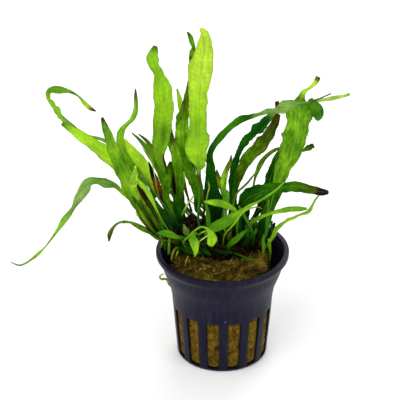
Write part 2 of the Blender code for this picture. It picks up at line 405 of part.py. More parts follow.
def blend_three(first, middle, last, share):
    """A value that passes through three others at the start, middle and end."""
    rest = 1 - share
    peak = 2 * middle - (first + last) / 2
    return first * rest * rest + 2 * peak * share * rest + last * share * share


def sides_along(centres, tangents):
    """The way across a frond at each point. Where it is seen end on, the way is carried on."""
    sides = []
    for centre, tangent in zip(centres[::-1], tangents[::-1]):
        towards_view = viewpoint() - centre
        side = np.cross(tangent, towards_view / np.linalg.norm(towards_view))
        if sides and np.linalg.norm(side) < END_ON:
            side = sides[-1] - tangent * (sides[-1] @ tangent)
        if sides and side @ sides[-1] < 0:
            side = -side
        sides.append(side / np.linalg.norm(side))
    return sides[::-1]


def section(width, tangent, centre, side, turn):
    """Four corners across a frond: its two edges and the two sides of its midrib."""
    face = np.cross(side, tangent)
    angle = math.radians(turn)
    edge = side * math.cos(angle) + face * math.sin(angle)
    normal = face * math.cos(angle) - side * math.sin(angle)
    half = width / 2 / math.cos(angle)
    thickness = max(TIP_THICKNESS, min(PETIOLE_THICKNESS, width * 0.9, BLADE_THICKNESS + 1 / width))
    fold = half * BLADE_FOLD
    return [centre - edge * half + normal * fold, centre - normal * thickness / 2,
            centre + edge * half + normal * fold, centre + normal * thickness / 2]


def loft(name, centres, widths, turns):
    """Skin the sections along a frond, from its round petiole to its flat blade."""
    tangents = np.gradient(centres, axis=0)
    tangents /= np.linalg.norm(tangents, axis=1)[:, None]
    shape = bmesh.new()
    rings = []
    sides = sides_along(centres, tangents)
    for centre, tangent, width, side, turn in zip(centres, tangents, widths, sides, turns):
        corners = section(width, tangent, centre, side, turn)
        rings.append([shape.verts.new(Vector(corner) * MM) for corner in corners])
    for lower, upper in zip(rings, rings[1:]):
        for i in range(4):
            j = (i + 1) % 4
            shape.faces.new((lower[i], lower[j], upper[j], upper[i]))
    for ring in (rings[0], rings[-1]):
        shape.faces.new((ring[0], ring[1], ring[3]))
        shape.faces.new((ring[1], ring[2], ring[3]))
    bmesh.ops.triangulate(shape, faces=shape.faces)
    bmesh.ops.recalc_face_normals(shape, faces=shape.faces)
    mesh = bpy.data.meshes.new(name)
    shape.to_mesh(mesh)
    shape.free()
    return mesh


def make_frond(name, root, tone, turns, route, collection):
    """One frond, from its rhizome to its tip."""
    points = [[*from_view(*stop[:3]), stop[3]] for stop in route]
    if root:
        foot, outward = along_rhizome(*root)
        first_width = min(points[0][3], PETIOLE_THICKNESS)
        points = [[*foot, first_width], [*(foot + outward * 0.9), first_width]] + points
    line = smooth_line(points)
    centres, widths = line[:, :3], line[:, 3]
    travelled = np.insert(np.cumsum(np.linalg.norm(np.diff(centres, axis=0), axis=1)), 0, 0)
    shares = travelled / travelled[-1]
    angles = [blend_three(*turns, share) for share in shares]
    mesh = loft(name, centres, widths, angles)
    return add_object(name, mesh, collection, TONES[tone], 0.45)


def turned(name, profile, steps, collection, colour, roughness):
    """A closed profile of radius and height, turned about the pot's axis."""
    mesh = bpy.data.meshes.new(name)
    points = [(radius * MM, 0, height * MM) for radius, height in profile]
    mesh.from_pydata(points, [(i, i + 1) for i in range(len(points) - 1)], [])
    item = add_object(name, mesh, collection, colour, roughness)
    screw = item.modifiers.new("Turn", "SCREW")
    screw.axis = "Z"
    screw.steps = steps
    screw.render_steps = steps
    screw.use_merge_vertices = True
    screw.merge_threshold = 0.00001
    screw.use_normal_calculate = True
    return item


def make_slot_cutter(collection):
    """All the slots' boxes in one mesh: round the side, and star-wise in the base."""
    shape = bmesh.new()
    boxes = []
    for i in range(SLOT_COUNT):
        middle = (POT_BASE_RADIUS + 1.0, (SLOT_BOTTOM + SLOT_TOP) / 2)
        boxes.append((SLOT_FIRST_DEG + i * 360 / SLOT_COUNT, middle,
                      (6.0, SLOT_WIDTH, SLOT_TOP - SLOT_BOTTOM)))
    for i in range(BASE_SLOT_COUNT):
        middle = ((BASE_SLOT_INNER + BASE_SLOT_OUTER) / 2, 0.5)
        boxes.append((i * 360 / BASE_SLOT_COUNT, middle,
                      (BASE_SLOT_OUTER - BASE_SLOT_INNER, BASE_SLOT_WIDTH, 2.4)))
    for azimuth, (radius, height), (depth, width, tall) in boxes:
        angle = math.radians(azimuth - 90)
        made = bmesh.ops.create_cube(shape, size=1.0)["verts"]
        bmesh.ops.scale(shape, vec=Vector((depth, width, tall)) * MM, verts=made)
        bmesh.ops.translate(shape, vec=Vector((radius, 0, height)) * MM, verts=made)
        bmesh.ops.rotate(shape, cent=(0, 0, 0), verts=made, matrix=Matrix.Rotation(angle, 3, "Z"))
    mesh = bpy.data.meshes.new("slot_cutter")
    shape.to_mesh(mesh)
    shape.free()
    cutter = bpy.data.objects.new("slot_cutter", mesh)
    cutter.hide_render = True
    cutter.display_type = "WIRE"
    collection.objects.link(cutter)
    return cutter


def make_pot(collection, cutters):
    """The net pot: a slotted tapered cup with a flared collar and a flat rim."""
    profile = [
        (0, 0), (POT_BASE_RADIUS - 1.0, 0), (POT_BASE_RADIUS, 1.0), (19.5, 8), (20.8, 25),
        (21.6, 33), (POT_WAIST_RADIUS, POT_WAIST_HEIGHT), (POT_RIM_RADIUS - 0.3, 46.9),
        (POT_RIM_RADIUS, 47.6), (POT_RIM_RADIUS - 0.2, POT_HEIGHT),
        (POT_MOUTH_RADIUS, POT_HEIGHT), (POT_MOUTH_RADIUS - 0.3, 47.6),
        (POT_WAIST_RADIUS - POT_WALL, POT_WAIST_HEIGHT + 0.3), (20.7, 33), (19.9, 25), (18.6, 8),
        (POT_BASE_RADIUS - POT_WALL, 1.2), (0, 1.0),
    ]
    pot = turned("net_pot", profile[::-1], POT_STEPS, collection, POT_COLOUR, 0.4)
    cut = pot.modifiers.new("Slots", "BOOLEAN")
    cut.operation = "DIFFERENCE"
    cut.solver = "EXACT"
    cut.object = make_slot_cutter(cutters)
    return pot


def make_plug(collection):
    """The mineral wool plug, which fills the pot and stands a little uneven at its top."""
    profile = [
        (0, 1.0 + GAP), (17.4, 1.2 + GAP), (18.25, 8), (19.5, 25), (20.2, 33), (19.6, 35.5),
        (PLUG_TOP_RADIUS + 0.5, 38.5), (PLUG_TOP_RADIUS, 43), (PLUG_TOP_RADIUS - 1.2, PLUG_HEIGHT),
        (13, PLUG_HEIGHT + 0.5), (7, PLUG_HEIGHT - 0.6), (0, PLUG_HEIGHT - 1.2),
    ]
    return turned("wool_plug", profile[::-1], PLUG_STEPS, collection, PLUG_COLOUR, 0.95)


def make_rhizome(name, points, collection):
    """A creeping stem: a tube along a smooth line, thinner at its ends."""
    line = smooth_line([[*point, 1.0] for point in points])
    curve = bpy.data.curves.new(name, "CURVE")
    curve.dimensions = "3D"
    curve.bevel_depth = RHIZOME_RADIUS * MM
    curve.bevel_resolution = 2
    curve.use_fill_caps = True
    spline = curve.splines.new("POLY")
    spline.points.add(len(line) - 1)
    for i, point in enumerate(line):
        spline.points[i].co = (*(point[:3] * MM), 1.0)
        spline.points[i].radius = 0.7 if i in (0, len(line) - 1) else 1.0
    guide = bpy.data.objects.new(name + "_line", curve)
    collection.objects.link(guide)
    graph = bpy.context.evaluated_depsgraph_get()
    mesh = bpy.data.meshes.new_from_object(guide.evaluated_get(graph))
    mesh.name = name
    bpy.data.objects.remove(guide)
    shape = bmesh.new()
    shape.from_mesh(mesh)
    bmesh.ops.remove_doubles(shape, verts=shape.verts, dist=0.00001)
    bmesh.ops.recalc_face_normals(shape, faces=shape.faces)
    shape.to_mesh(mesh)
    shape.free()
    mesh.materials.clear()
    return add_object(name, mesh, collection, RHIZOME_COLOUR, 0.8)


def main():
    """Build the pot, the plug, the rhizomes and every frond."""
    clear_scene()
    parts = new_collection(OBJECT_NAME)
    cutters = new_collection("cutters")
    make_pot(parts, cutters)
    make_plug(parts)
    for name, points in RHIZOMES.items():
        make_rhizome(name, points, parts)
    for name, root, tone, turns, route in FRONDS:
        make_frond(name, root, tone, turns, route, parts)
    for name, tone, route in SMALL_GROWTHS:
        make_frond(name, None, tone, (0, 0, 0), route, parts)


main()
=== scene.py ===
"""Potted narrow leaf java fern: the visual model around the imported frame.

Metres, +Z up. The origin is the middle of the pot's base, and the front faces -Y. Every frond is
grown along the sections of its own node, so it stands where the frame says. The young fronds and
stems between them follow routes of their own.
"""

import itertools
import json
import math
import random

import bmesh
import bpy
import numpy as np
from bpy.props import FloatProperty, FloatVectorProperty, IntProperty, PointerProperty
from mathutils import Euler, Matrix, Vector, noise


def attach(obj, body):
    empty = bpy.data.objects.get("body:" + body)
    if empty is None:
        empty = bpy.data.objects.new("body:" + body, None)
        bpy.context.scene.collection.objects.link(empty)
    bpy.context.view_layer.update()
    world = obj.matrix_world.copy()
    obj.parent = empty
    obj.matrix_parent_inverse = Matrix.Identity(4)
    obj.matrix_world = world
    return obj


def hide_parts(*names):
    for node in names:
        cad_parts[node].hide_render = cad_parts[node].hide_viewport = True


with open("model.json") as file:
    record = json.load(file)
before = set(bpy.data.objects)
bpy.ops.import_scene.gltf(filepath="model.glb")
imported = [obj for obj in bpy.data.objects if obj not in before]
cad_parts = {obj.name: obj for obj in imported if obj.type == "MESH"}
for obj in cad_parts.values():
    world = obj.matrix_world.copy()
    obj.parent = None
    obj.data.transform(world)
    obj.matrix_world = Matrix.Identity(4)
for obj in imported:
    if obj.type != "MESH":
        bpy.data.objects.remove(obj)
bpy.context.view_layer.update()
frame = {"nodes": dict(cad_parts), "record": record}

bl_info = {
    "name": "Potted narrow leaf java fern",
    "version": (1, 0, 0),
    "blender": (4, 5, 0),
    "location": "3D View > Sidebar > Java fern",
    "description": "Builds a potted narrow leaf java fern around its packed frame",
    "category": "Object",
}

MM = 0.001
CM = 0.01
# Points closer together than this, in metres, become one
MERGE = 1e-6
SLOT_OF = {part["node"]: part["material_slot"] for part in frame["record"]["subparts"]}
# The middle of the tuft's base. Of a frond's two ends, its foot is the one nearer to it
PLANT_HEART = Vector((0.0, 4.0, 50.0)) * MM

# The camera, which looks at this point from this far away and this high above level, and the
# length of its lens in millimetres
EYE_TARGET = Vector((-9.3, 0.0, 71.6)) * MM
EYE_DISTANCE = 0.8
EYE_TILT = math.radians(29.0)
EYE_LENS = 176.7
EYE = EYE_TARGET + EYE_DISTANCE * Vector((0.0, -math.cos(EYE_TILT), math.sin(EYE_TILT)))

# Pot: the outer line of its wall, from the middle of its base to its lip, as radius and height
# in millimetres
POT_LINE = [
    (0.0, 0.0), (3.5, 0.0), (7.5, 0.0), (11.5, 0.0), (15.5, 0.0), (17.6, 0.05), (18.5, 0.35),
    (18.85, 0.8), (18.93, 1.3), (18.96, 1.6), (19.0, 2.1), (19.5, 8.0), (20.15, 16.0),
    (20.7, 23.4), (20.72, 23.9), (20.74, 24.2), (20.85, 26.0), (21.1, 28.6), (21.45, 30.6),
    (21.85, 32.5), (22.35, 34.3), (23.0, 36.0), (23.7, 37.8), (24.2, 39.2), (24.6, 40.5),
    (24.95, 41.9), (25.25, 43.2), (25.65, 44.3), (26.3, 45.2), (27.0, 45.8), (27.4, 46.4),
    (27.5, 47.1), (27.5, 48.0), (27.4, 48.4), (27.1, 48.5), (25.9, 48.5), (25.5, 48.4),
    (25.25, 47.9),
]
# The stops of that line from the foot of the side wall to the foot of the collar
POT_SIDE = slice(8, 22)
POT_WALL = 0.9
# How far the collar wavers as a share of its radius, the height at which it starts to, and how
# much higher it does so fully
COLLAR_WOBBLE = 0.003
COLLAR_FROM = 36
COLLAR_RISE = 8

# Side slots: their number, width, heights and first azimuth, and the columns of faces for each
SLOT_COUNT = 14
SLOT_WIDTH = 5.6
SLOT_HEIGHTS = (1.3, 24.2)
SLOT_FIRST = math.radians(14.06 - 90)
SLOT_COLUMNS = 8
# Inwards from the first radius their edges keep the same turn, and they are cut outside the other
SLOT_TURN_RADIUS = 17.0
SLOT_CUT_RADIUS = 18.0
# How much narrower than its full width a slot is where it rounds off, as height and millimetres
SLOT_ROUNDING = [(1.3, 2.1), (1.6, 1.2), (2.1, 0.7), (8.0, 0.5), (16.0, 0.2), (20.0, 0.0),
                 (23.4, 0.0), (23.9, 0.2), (24.2, 0.7)]

# Drain slots in the base: their number, width, reach and first azimuth
BASE_SLOT_COUNT = 7
BASE_SLOT_WIDTH = 2.6
BASE_SLOT_REACH = (7.5, 15.5)
BASE_SLOT_FIRST = math.radians(-90)
# The base's faces lie below this height, and inside this radius their columns follow the drain
# slots, while those under the side slots close up to this turn
BASE_HEIGHT = 0.02
BASE_RADIUS = 16.0
BASE_TURN = math.radians(1.2)
# The small mark that moulding leaves on the wall, as azimuth, height and radius
GATE_MARK = (math.radians(-87.2), 25.9, 0.3)

# Wool plug: its line from the middle of its top to the middle of its base, in millimetres
WOOL_LINE = [
    (0.0, 44.2), (7.0, 44.8), (13.0, 45.9), (17.2, 45.2), (18.4, 43.0), (18.9, 38.5),
    (19.4, 35.5), (20.1, 33.0), (19.5, 25.0), (18.3, 8.0), (17.7, 1.8), (17.0, 1.3), (0.0, 1.3),
]

# How far the wool swells into the side slots, in millimetres
SLOT_SWELL = 0.75
# On its left the plug's top bulges by this share of its radius and sags by these millimetres
WOOL_BULGE = 0.13
WOOL_SAG = 1.6
# Tufts on its top, as across and back from the middle, breadth and height in millimetres
WOOL_TUFTS = [(16.3, -4.5, 3.2, 2.6), (-12.0, -11.0, 4.0, 0.6)]
# The middle of the light lobe that stands up at the plug's right
WOOL_LOBE = (0.0165, -0.0045, 0.0475)
# How many of the loose fibres stand on the open top, and on which stretch of the plug's line
TOP_FIBRES = 0.8
TOP_SHARES = (0.06, 0.33)
# Strands in the side slots, of wool and of root: how far from a slot's middle in radians, on which
# stretch of the plug's line, how deep in millimetres, how slanting, and their lengths and radii in
# millimetres. Then the number of such roots, and how far each strand bows out in millimetres
SLOT_FIBRES = (0.055, (0.51, 0.755), 0.1, 0.55, (0.9, 1.8), (0.07, 0.13))
SLOT_ROOTS = (0.05, (0.53, 0.735), 0.04, 0.6, (1.4, 2.6), (0.09, 0.15))
SLOT_ROOT_COUNT = 90
STRAND_BEND = 0.05
# What the random places of the wool's fibres and of the roots start from
WOOL_SEED = 11
ROOT_SEED = 23

# The mat of old roots, near black as painted shade under the fronds: its middle and half its size, in
# millimetres
ROOT_MAT_MIDDLE = (-1.0, 6.0, 46.0)
ROOT_MAT_HALF = (17.5, 9.5, 3.2)

# Soft lights: where each hangs and how wide it is, in metres, and its share of the key power
LIGHTS = {
    "key": ((-0.4, -0.45, 0.8), 0.85, 1.0),
    "fill": ((0.6, -0.45, 0.4), 0.5, 0.35),
    "back": ((0.15, 0.6, 0.6), 0.6, 0.6),
}

# How far a frond's foot is drawn out to reach the rhizome, in metres
FOOT_REACH = 0.0008
# The least and the greatest number of rows along a frond
ROW_LIMITS = (10, 200)
# A blade's build in millimetres: half a bare stem's width, how much more makes a full blade, the
# calm stretch at each end, the least half width, half the midrib's width and the thinning tip
STEM_HALF = 0.6
BLADE_MORE = 1.8
CALM_END = 4
LEAST_HALF = 0.15
RIB_HALF = 0.42
TIP_LENGTH = 3
# How far apart the waves of a margin, its small notches, its ruffle, the cushions between its
# veins, its sway and its patches of tone are, in millimetres
WAVE_STEP = 5.5
NOTCH_STEP = 1.9
RUFFLE_STEP = 7.5
CUSHION_STEP = 2.4
SWAY_STEP = 16
PATCH_STEPS = (11, 6)
# How much longer or shorter the single waves of a line are than its step
WAVE_SPREAD = (0.55, 1.7)
# How high the ruffle, the cushions and the sway rise, in millimetres
RUFFLE_RISE = 0.42
CUSHION_RISE = 0.07
SWAY_RISE = 0.25
# As shares of half the width: how far a stem's margin wavers, and as much more on a full blade,
# how far the margins curl forward, and how far the whole blade is set back for that
WAVER = 0.04
CURL = 0.16
SET_BACK = 0.05
# How deep the notches are against the waves: at the least, and more with a ragged margin
NOTCH_LEAST = 0.1
NOTCH_RAGGED = 0.35
# How much the patches change a blade's tone, and how much darker its margins are painted as shade
PATCH_TONE = 0.2
MARGIN_SHADE = 0.35
# A young blade's depth as a share of its width, the least and the greatest depth in millimetres,
# and how far its margins fold forward as a share of its width
YOUNG_DEPTH = 0.9
YOUNG_DEPTHS = (0.35, 1.1)
YOUNG_FOLD = 0.05
# How strong the middle line is and how uneven the margins are where MARKS doesn't say
FROND_LINE = -0.3
FROND_RAGGED = 1.0
YOUNG_LINE = 0.0
YOUNG_RAGGED = 1.3

# Leaf tones, as red, green and blue from 0 to 255 as a screen shows them
TONES = {
    "lime": (178, 212, 54),
    "bright": (156, 204, 30),
    "fresh": (132, 184, 30),
    "leaf": (90, 146, 14),
    "deep": (50, 114, 8),
    "forest": (24, 92, 8),
    "dark": (18, 68, 4),
    "night": (8, 34, 3),
    "pale": (182, 202, 92),
    "matt": (108, 148, 62),
    "grey": (128, 162, 84),
    "olive": (92, 118, 18),
    "moss": (62, 86, 10),
    "brown": (76, 46, 12),
    "rust": (124, 62, 8),
    "ochre": (150, 126, 52),
    "tan": (136, 116, 48),
    "plum": (42, 22, 28),
    "black": (20, 14, 8),
}

# How each frond's tone runs from its foot, 0, to its tip, 1. The night, dark and forest stretches near the
# feet, and where a frond lies behind others, are painted shade
LOOKS = {
    "frond_low_left_drooping": "dark 0, moss 0.2, olive 0.45, leaf 0.65, olive 0.85, brown 0.94, black 1",
    "frond_mottled_low_left": "night 0, moss 0.25, olive 0.5, moss 0.7, olive 0.85, brown 1",
    "frond_dark_tip_left": "night 0, moss 0.12, olive 0.22, deep 0.32, leaf 0.42, fresh 0.55, leaf 0.65,"
                           " fresh 0.78, leaf 0.92, leaf 0.965, brown 0.98, black 1",
    "frond_yellow_left": "night 0, moss 0.3, deep 0.5, olive 0.62, fresh 0.74, lime 0.88, fresh 0.95,"
                         " lime 1",
    "frond_bright_narrow_left": "deep 0, leaf 0.15, leaf 0.35, leaf 0.55, fresh 0.75, fresh 0.9, bright 1",
    "frond_arching_front": "dark 0, deep 0.25, leaf 0.5, fresh 0.8, bright 1",
    "frond_lying_left": "night 0, moss 0.3, deep 0.45, leaf 0.65, leaf 0.85, deep 1",
    "frond_tuft_front": "dark 0, deep 0.3, leaf 0.55, matt 0.8, matt 1",
    "frond_hanging_front": "night 0, dark 0.5, deep 0.57, leaf 0.65, fresh 0.8, bright 0.9, fresh 1",
    "frond_leaning_front": "dark 0, deep 0.08, leaf 0.25, leaf 0.5, fresh 0.65, leaf 0.8, fresh 1",
    "frond_pale_tip_centre": "dark 0, deep 0.3, leaf 0.65, matt 0.8, pale 1",
    "frond_strand_front": "dark 0, leaf 0.3, bright 0.6, fresh 0.9, tan 0.96, tan 1",
    "frond_short_diagonal": "night 0, deep 0.4, leaf 0.7, deep 1",
    "frond_on_plug": "night 0, dark 0.4, deep 1",
    "frond_dead_short": "brown 0, moss 0.3, olive 0.6, tan 1",
    "frond_arch_right": "dark 0, night 0.12, dark 0.24, forest 0.34, forest 0.42, deep 0.52, deep 0.6,"
                        " forest 0.67, matt 0.71, grey 0.78, matt 0.86, deep 0.93, dark 1",
    "frond_olive_centre": "dark 0, leaf 0.3, matt 0.45, leaf 0.6, fresh 0.75, olive 0.9, brown 1",
    "frond_pointing_left": "dark 0, deep 0.3, leaf 0.5, fresh 0.7, leaf 0.85, fresh 0.95, leaf 1",
    "frond_thin_branch_right": "moss 0, leaf 0.4, olive 0.7, matt 1",
    "frond_brown_tip_right": "dark 0, forest 0.25, dark 0.45, deep 0.7, moss 0.88, moss 0.915, plum 0.93,"
                             " black 1",
    "frond_level_right": "deep 0, leaf 0.3, fresh 0.6, leaf 1",
    "frond_stem_right": "night 0, dark 0.4, leaf 1",
    # Painted shade: the forest and deep stretch near the foot lies where another frond crosses in front of
    # it
    "frond_broad_right": "moss 0, forest 0.12, deep 0.22, deep 0.33, leaf 0.38, fresh 0.5, leaf 0.6,"
                         " fresh 0.72, leaf 0.82, olive 0.86, bright 0.9, lime 0.97, brown 0.985, brown 1",
    "frond_wavy_right": "deep 0, fresh 0.25, bright 0.6, fresh 0.9, leaf 1",
    "frond_long_trailing_left": "dark 0, moss 0.1, leaf 0.2, lime 0.26, fresh 0.33, matt 0.4, matt 0.5,"
                                " grey 0.56, matt 0.64, fresh 0.72, matt 0.8, fresh 0.87, olive 0.95,"
                                " matt 1",
    "frond_shaded_left": "night 0, night 0.5, brown 0.8, black 1",
    "frond_broad_left": "deep 0, leaf 0.25, fresh 0.4, bright 0.6, bright 0.93, leaf 0.98, moss 1",
    "frond_bright_left": "night 0, dark 0.25, forest 0.36, deep 0.42, fresh 0.5, bright 0.6, bright 0.9,"
                         " lime 1",
    "frond_dying_left": "night 0, night 0.5, black 0.6, brown 0.66, rust 0.7, rust 0.78, brown 0.81,"
                        " black 0.85, black 1",
    "frond_pale_strand_left": "night 0, dark 0.3, deep 0.5, leaf 0.65, pale 0.76, pale 0.86, moss 0.93,"
                              " brown 1",
    "frond_green_core_left": "night 0, forest 0.08, deep 0.2, leaf 0.4, leaf 0.75, deep 0.9, moss 0.96,"
                             " brown 1",
    "frond_green_core": "night 0, forest 0.1, deep 0.22, leaf 0.42, leaf 0.6, fresh 0.82, moss 0.92,"
                        " brown 1",
    "frond_tall_centre": "dark 0, deep 0.12, leaf 0.22, moss 0.29, brown 0.315, fresh 0.34, bright 0.42,"
                         " fresh 0.52, bright 0.62, lime 0.78, lime 1",
    "frond_hook_left": "dark 0, leaf 0.25, matt 0.4, matt 0.62, fresh 0.67, fresh 0.75, leaf 0.79,"
                       " leaf 0.87, moss 0.89, fresh 0.92, lime 0.96, brown 0.985, black 1",
    "frond_curly_tip_left": "dark 0, leaf 0.3, matt 0.42, leaf 0.5, fresh 0.6, fresh 0.92, moss 0.97,"
                            " brown 1",
    "frond_slim_left_outer": "dark 0, leaf 0.4, fresh 0.75, leaf 0.9, brown 1",
    "frond_slim_left_inner": "dark 0, leaf 0.4, fresh 0.7, olive 0.9, brown 1",
    "frond_tall_left": "dark 0, deep 0.15, leaf 0.3, fresh 0.42, fresh 0.6, bright 0.75, fresh 0.88,"
                       " fresh 0.965, leaf 0.985, forest 1",
    "frond_mottled_centre": "night 0, deep 0.15, leaf 0.3, leaf 0.45, fresh 0.52, leaf 0.58, olive 0.64,"
                            " moss 0.67, olive 0.7, leaf 0.8, leaf 0.97, black 1",
    "frond_slim_centre": "deep 0, leaf 0.5, bright 0.8, bright 0.97, moss 1",
    "frond_behind_right": "night 0, dark 0.2, forest 0.4, forest 0.85, matt 0.9, brown 0.95, brown 1",
    "frond_olive_right": "night 0, forest 0.2, deep 0.35, olive 0.5, leaf 0.6, olive 0.72, moss 0.88,"
                         " brown 1",
    "frond_crooked_right": "deep 0, leaf 0.3, olive 0.5, fresh 0.65, olive 0.8, leaf 0.9, moss 1",
    "frond_dark_behind_right": "night 0, dark 0.4, forest 0.75, deep 0.9, dark 1",
    "frond_pale_tip_right": "deep 0, leaf 0.4, fresh 0.7, pale 0.85, fresh 1",
    "frond_curled_tip_right": "deep 0, leaf 0.4, deep 0.7, leaf 0.85, deep 1",
    "frond_back_centre": "dark 0, leaf 0.4, fresh 0.8, leaf 1",
    "frond_back_left": "night 0, dark 0.25, forest 0.35, leaf 0.7, fresh 1",
    "frond_back_right": "dark 0, leaf 0.4, leaf 0.8, brown 1",
    "frond_back_drooping": "dark 0, deep 0.4, leaf 0.8, moss 1",
    "frond_back_drooping_left": "dark 0, leaf 0.4, fresh 0.8, olive 1",
    "plantlet_right": "leaf 0, leaf 0.5, moss 0.75, brown 1",
    "petiole_stub_right": "moss 0, black 0.5, black 1",
    "crozier_left": "lime 0, pale 0.3, lime 0.6, moss 0.85, moss 1",
}

# What sets single fronds apart: how light, up to 1, or dark, down to -1, the line along the middle
# is, how strongly the blade is mottled and how uneven its margins are
MARKS = {
    "frond_tall_centre": (-0.3, 0.0, 0.5),
    "frond_tall_left": (0.0, 0.08, 0.5),
    "frond_slim_centre": (-0.2, 0.1, 0.6),
    "frond_mottled_centre": (-0.2, 0.75, 1.5),
    "frond_broad_right": (0.5, 0.4, 0.8),
    "frond_olive_right": (-0.2, 0.75, 1.1),
    "frond_behind_right": (-0.3, 0.5, 1.8),
    "frond_arch_right": (-0.2, 0.3, 0.9),
    "frond_long_trailing_left": (0.15, 0.12, 1.0),
    "frond_hook_left": (0.1, 0.12, 1.3),
    "frond_curly_tip_left": (0.1, 0.15, 1.4),
    "frond_broad_left": (0.2, 0.05, 0.7),
    "frond_bright_left": (0.1, 0.05, 0.8),
    "frond_bright_narrow_left": (0.1, 0.05, 1.0),
    "frond_dark_tip_left": (0.25, 0.3, 1.0),
    "frond_yellow_left": (0.1, 0.6, 1.6),
    "frond_mottled_low_left": (0.2, 1.0, 2.4),
    "frond_low_left_drooping": (0.2, 1.0, 2.0),
    "frond_crooked_right": (0.2, 0.8, 1.8),
    "frond_dark_behind_right": (0.2, 0.5, 1.4),
    "frond_pale_tip_right": (0.1, 0.2, 1.8),
    "frond_curled_tip_right": (0.2, 0.8, 1.4),
    "frond_brown_tip_right": (0.1, 0.5, 1.3),
    "frond_green_core": (-0.3, 0.4, 1.0),
    "frond_green_core_left": (-0.3, 0.4, 1.0),
    "frond_wavy_right": (0.1, 0.15, 1.8),
    "frond_leaning_front": (0.1, 0.1, 1.0),
    "frond_pointing_left": (0.1, 0.1, 0.8),
    "frond_level_right": (0.1, 0.15, 1.0),
    "frond_hanging_front": (0.1, 0.15, 1.0),
    "frond_tuft_front": (0.1, 0.3, 2.4),
    "frond_dying_left": (-0.3, 0.9, 2.0),
    "plantlet_right": (0.0, 0.9, 2.8),
}

# Blotches on single fronds, and a painted shadow on the tall left frond: share of the way to the tip,
# place across from -1 to 1, reach along and across in millimetres, tone and strength
BLOTCHES_AND_SHADOW = {
    # Painted shadow: the dark forest patch that a frond in front casts
    "frond_tall_left": [(0.56, 0.35, 4.6, 1.2, "forest", 0.75)],
    "frond_tall_centre": [(0.55, -0.35, 5.0, 1.0, "leaf", 0.6), (0.42, 0.5, 3.0, 0.9, "leaf", 0.4),
                          (0.7, 0.6, 3.5, 1.0, "fresh", 0.5), (0.36, -0.1, 3.0, 1.2, "leaf", 0.5)],
    "frond_olive_right": [(0.44, -0.7, 2.2, 0.8, "night", 0.7), (0.56, -0.4, 1.2, 0.7, "night", 0.7),
                          (0.66, 0.3, 1.6, 0.6, "dark", 0.6), (0.8, -0.6, 1.8, 0.7, "night", 0.5),
                          (0.5, 0.5, 1.4, 0.6, "dark", 0.5), (0.9, 0.6, 1.6, 0.6, "night", 0.5)],
    "frond_broad_right": [(0.36 + 0.05 * i, (-0.5, 0.45)[i % 2], 1.6, 0.8, "deep", 0.6)
                          for i in range(10)],
    "frond_mottled_centre": [(0.345, 0.9, 1.4, 0.5, "black", 0.9), (0.62, 0.4, 3.0, 0.6, "night", 0.6),
                             (0.85, -0.5, 2.4, 0.5, "brown", 0.6), (0.5, 0.6, 2.4, 0.6, "deep", 0.6),
                             (0.92, 0.4, 1.2, 0.7, "night", 0.6), (0.74, 0.2, 2.0, 0.7, "deep", 0.6),
                             (0.7, -0.6, 1.6, 0.5, "dark", 0.5)],
    "frond_dark_tip_left": [(0.42, 0.7, 3.0, 0.5, "brown", 0.7), (0.5, -0.6, 2.4, 0.6, "olive", 0.5),
                            (0.3, -0.2, 3.0, 0.7, "night", 0.5), (0.22, 0.5, 2.6, 0.7, "night", 0.6)],
    "frond_brown_tip_right": [(0.35, -0.4, 2.0, 0.7, "night", 0.6), (0.5, 0.4, 2.4, 0.7, "leaf", 0.4),
                              (0.72, 0.5, 2.4, 0.6, "dark", 0.5), (0.25, 0.3, 2.0, 0.6, "leaf", 0.3)],
    "frond_curly_tip_left": [(0.45, 0.3, 3.0, 0.7, "deep", 0.5), (0.95, -0.6, 2.0, 0.4, "brown", 0.6)],
    "frond_broad_left": [(0.7, -0.95, 4.0, 0.4, "brown", 0.6), (0.5, -0.95, 3.0, 0.4, "olive", 0.6)],
}

# How wide a frond is against its node, as "width place" pairs from its foot, 0, to its tip, 1
FULL_WIDTH = "1 0, 1 1"
SLIM = {
    "frond_bright_narrow_left": "0.4 0, 0.4 0.37, 0.5 0.6, 0.9 0.85, 1 1",
    "frond_yellow_left": "0.6 0, 0.6 0.55, 1 0.75, 1 1",
    "frond_hook_left": "1 0, 1 0.5, 1.2 0.6, 1.15 0.72, 1.3 0.82, 1.2 0.87, 1 0.9, 1 1",
    "frond_dead_short": "0.6 0, 0.7 1",
    "frond_bright_left": "0.5 0, 0.5 0.4, 1 0.55, 1 1",
    "frond_back_left": "0.25 0, 0.25 0.27, 1 0.42, 1 1",
    "frond_behind_right": "1 0, 1 0.93, 1.7 0.96, 2.2 1",
    "frond_on_plug": "0.65 0, 0.65 1",
    "frond_leaning_front": "1 0, 1 0.5, 0.7 0.6, 0.7 0.72, 0.85 0.8, 1 1",
    "frond_pale_strand_left": "0.5 0, 0.5 1",
    "frond_dying_left": "0.5 0, 0.5 0.54, 1.1 0.62, 1.5 0.7, 1.3 0.8, 0.9 1",
    "frond_tall_centre": "0.6 0, 0.6 0.3, 1 0.36, 1 1",
    "frond_mottled_centre": "1.2 0, 1.25 0.3, 1 0.45, 1 1",
    "frond_strand_front": "0.6 0, 0.6 1",
    "frond_pale_tip_centre": "1 0, 1 0.5, 0.6 0.75, 0.5 1",
}

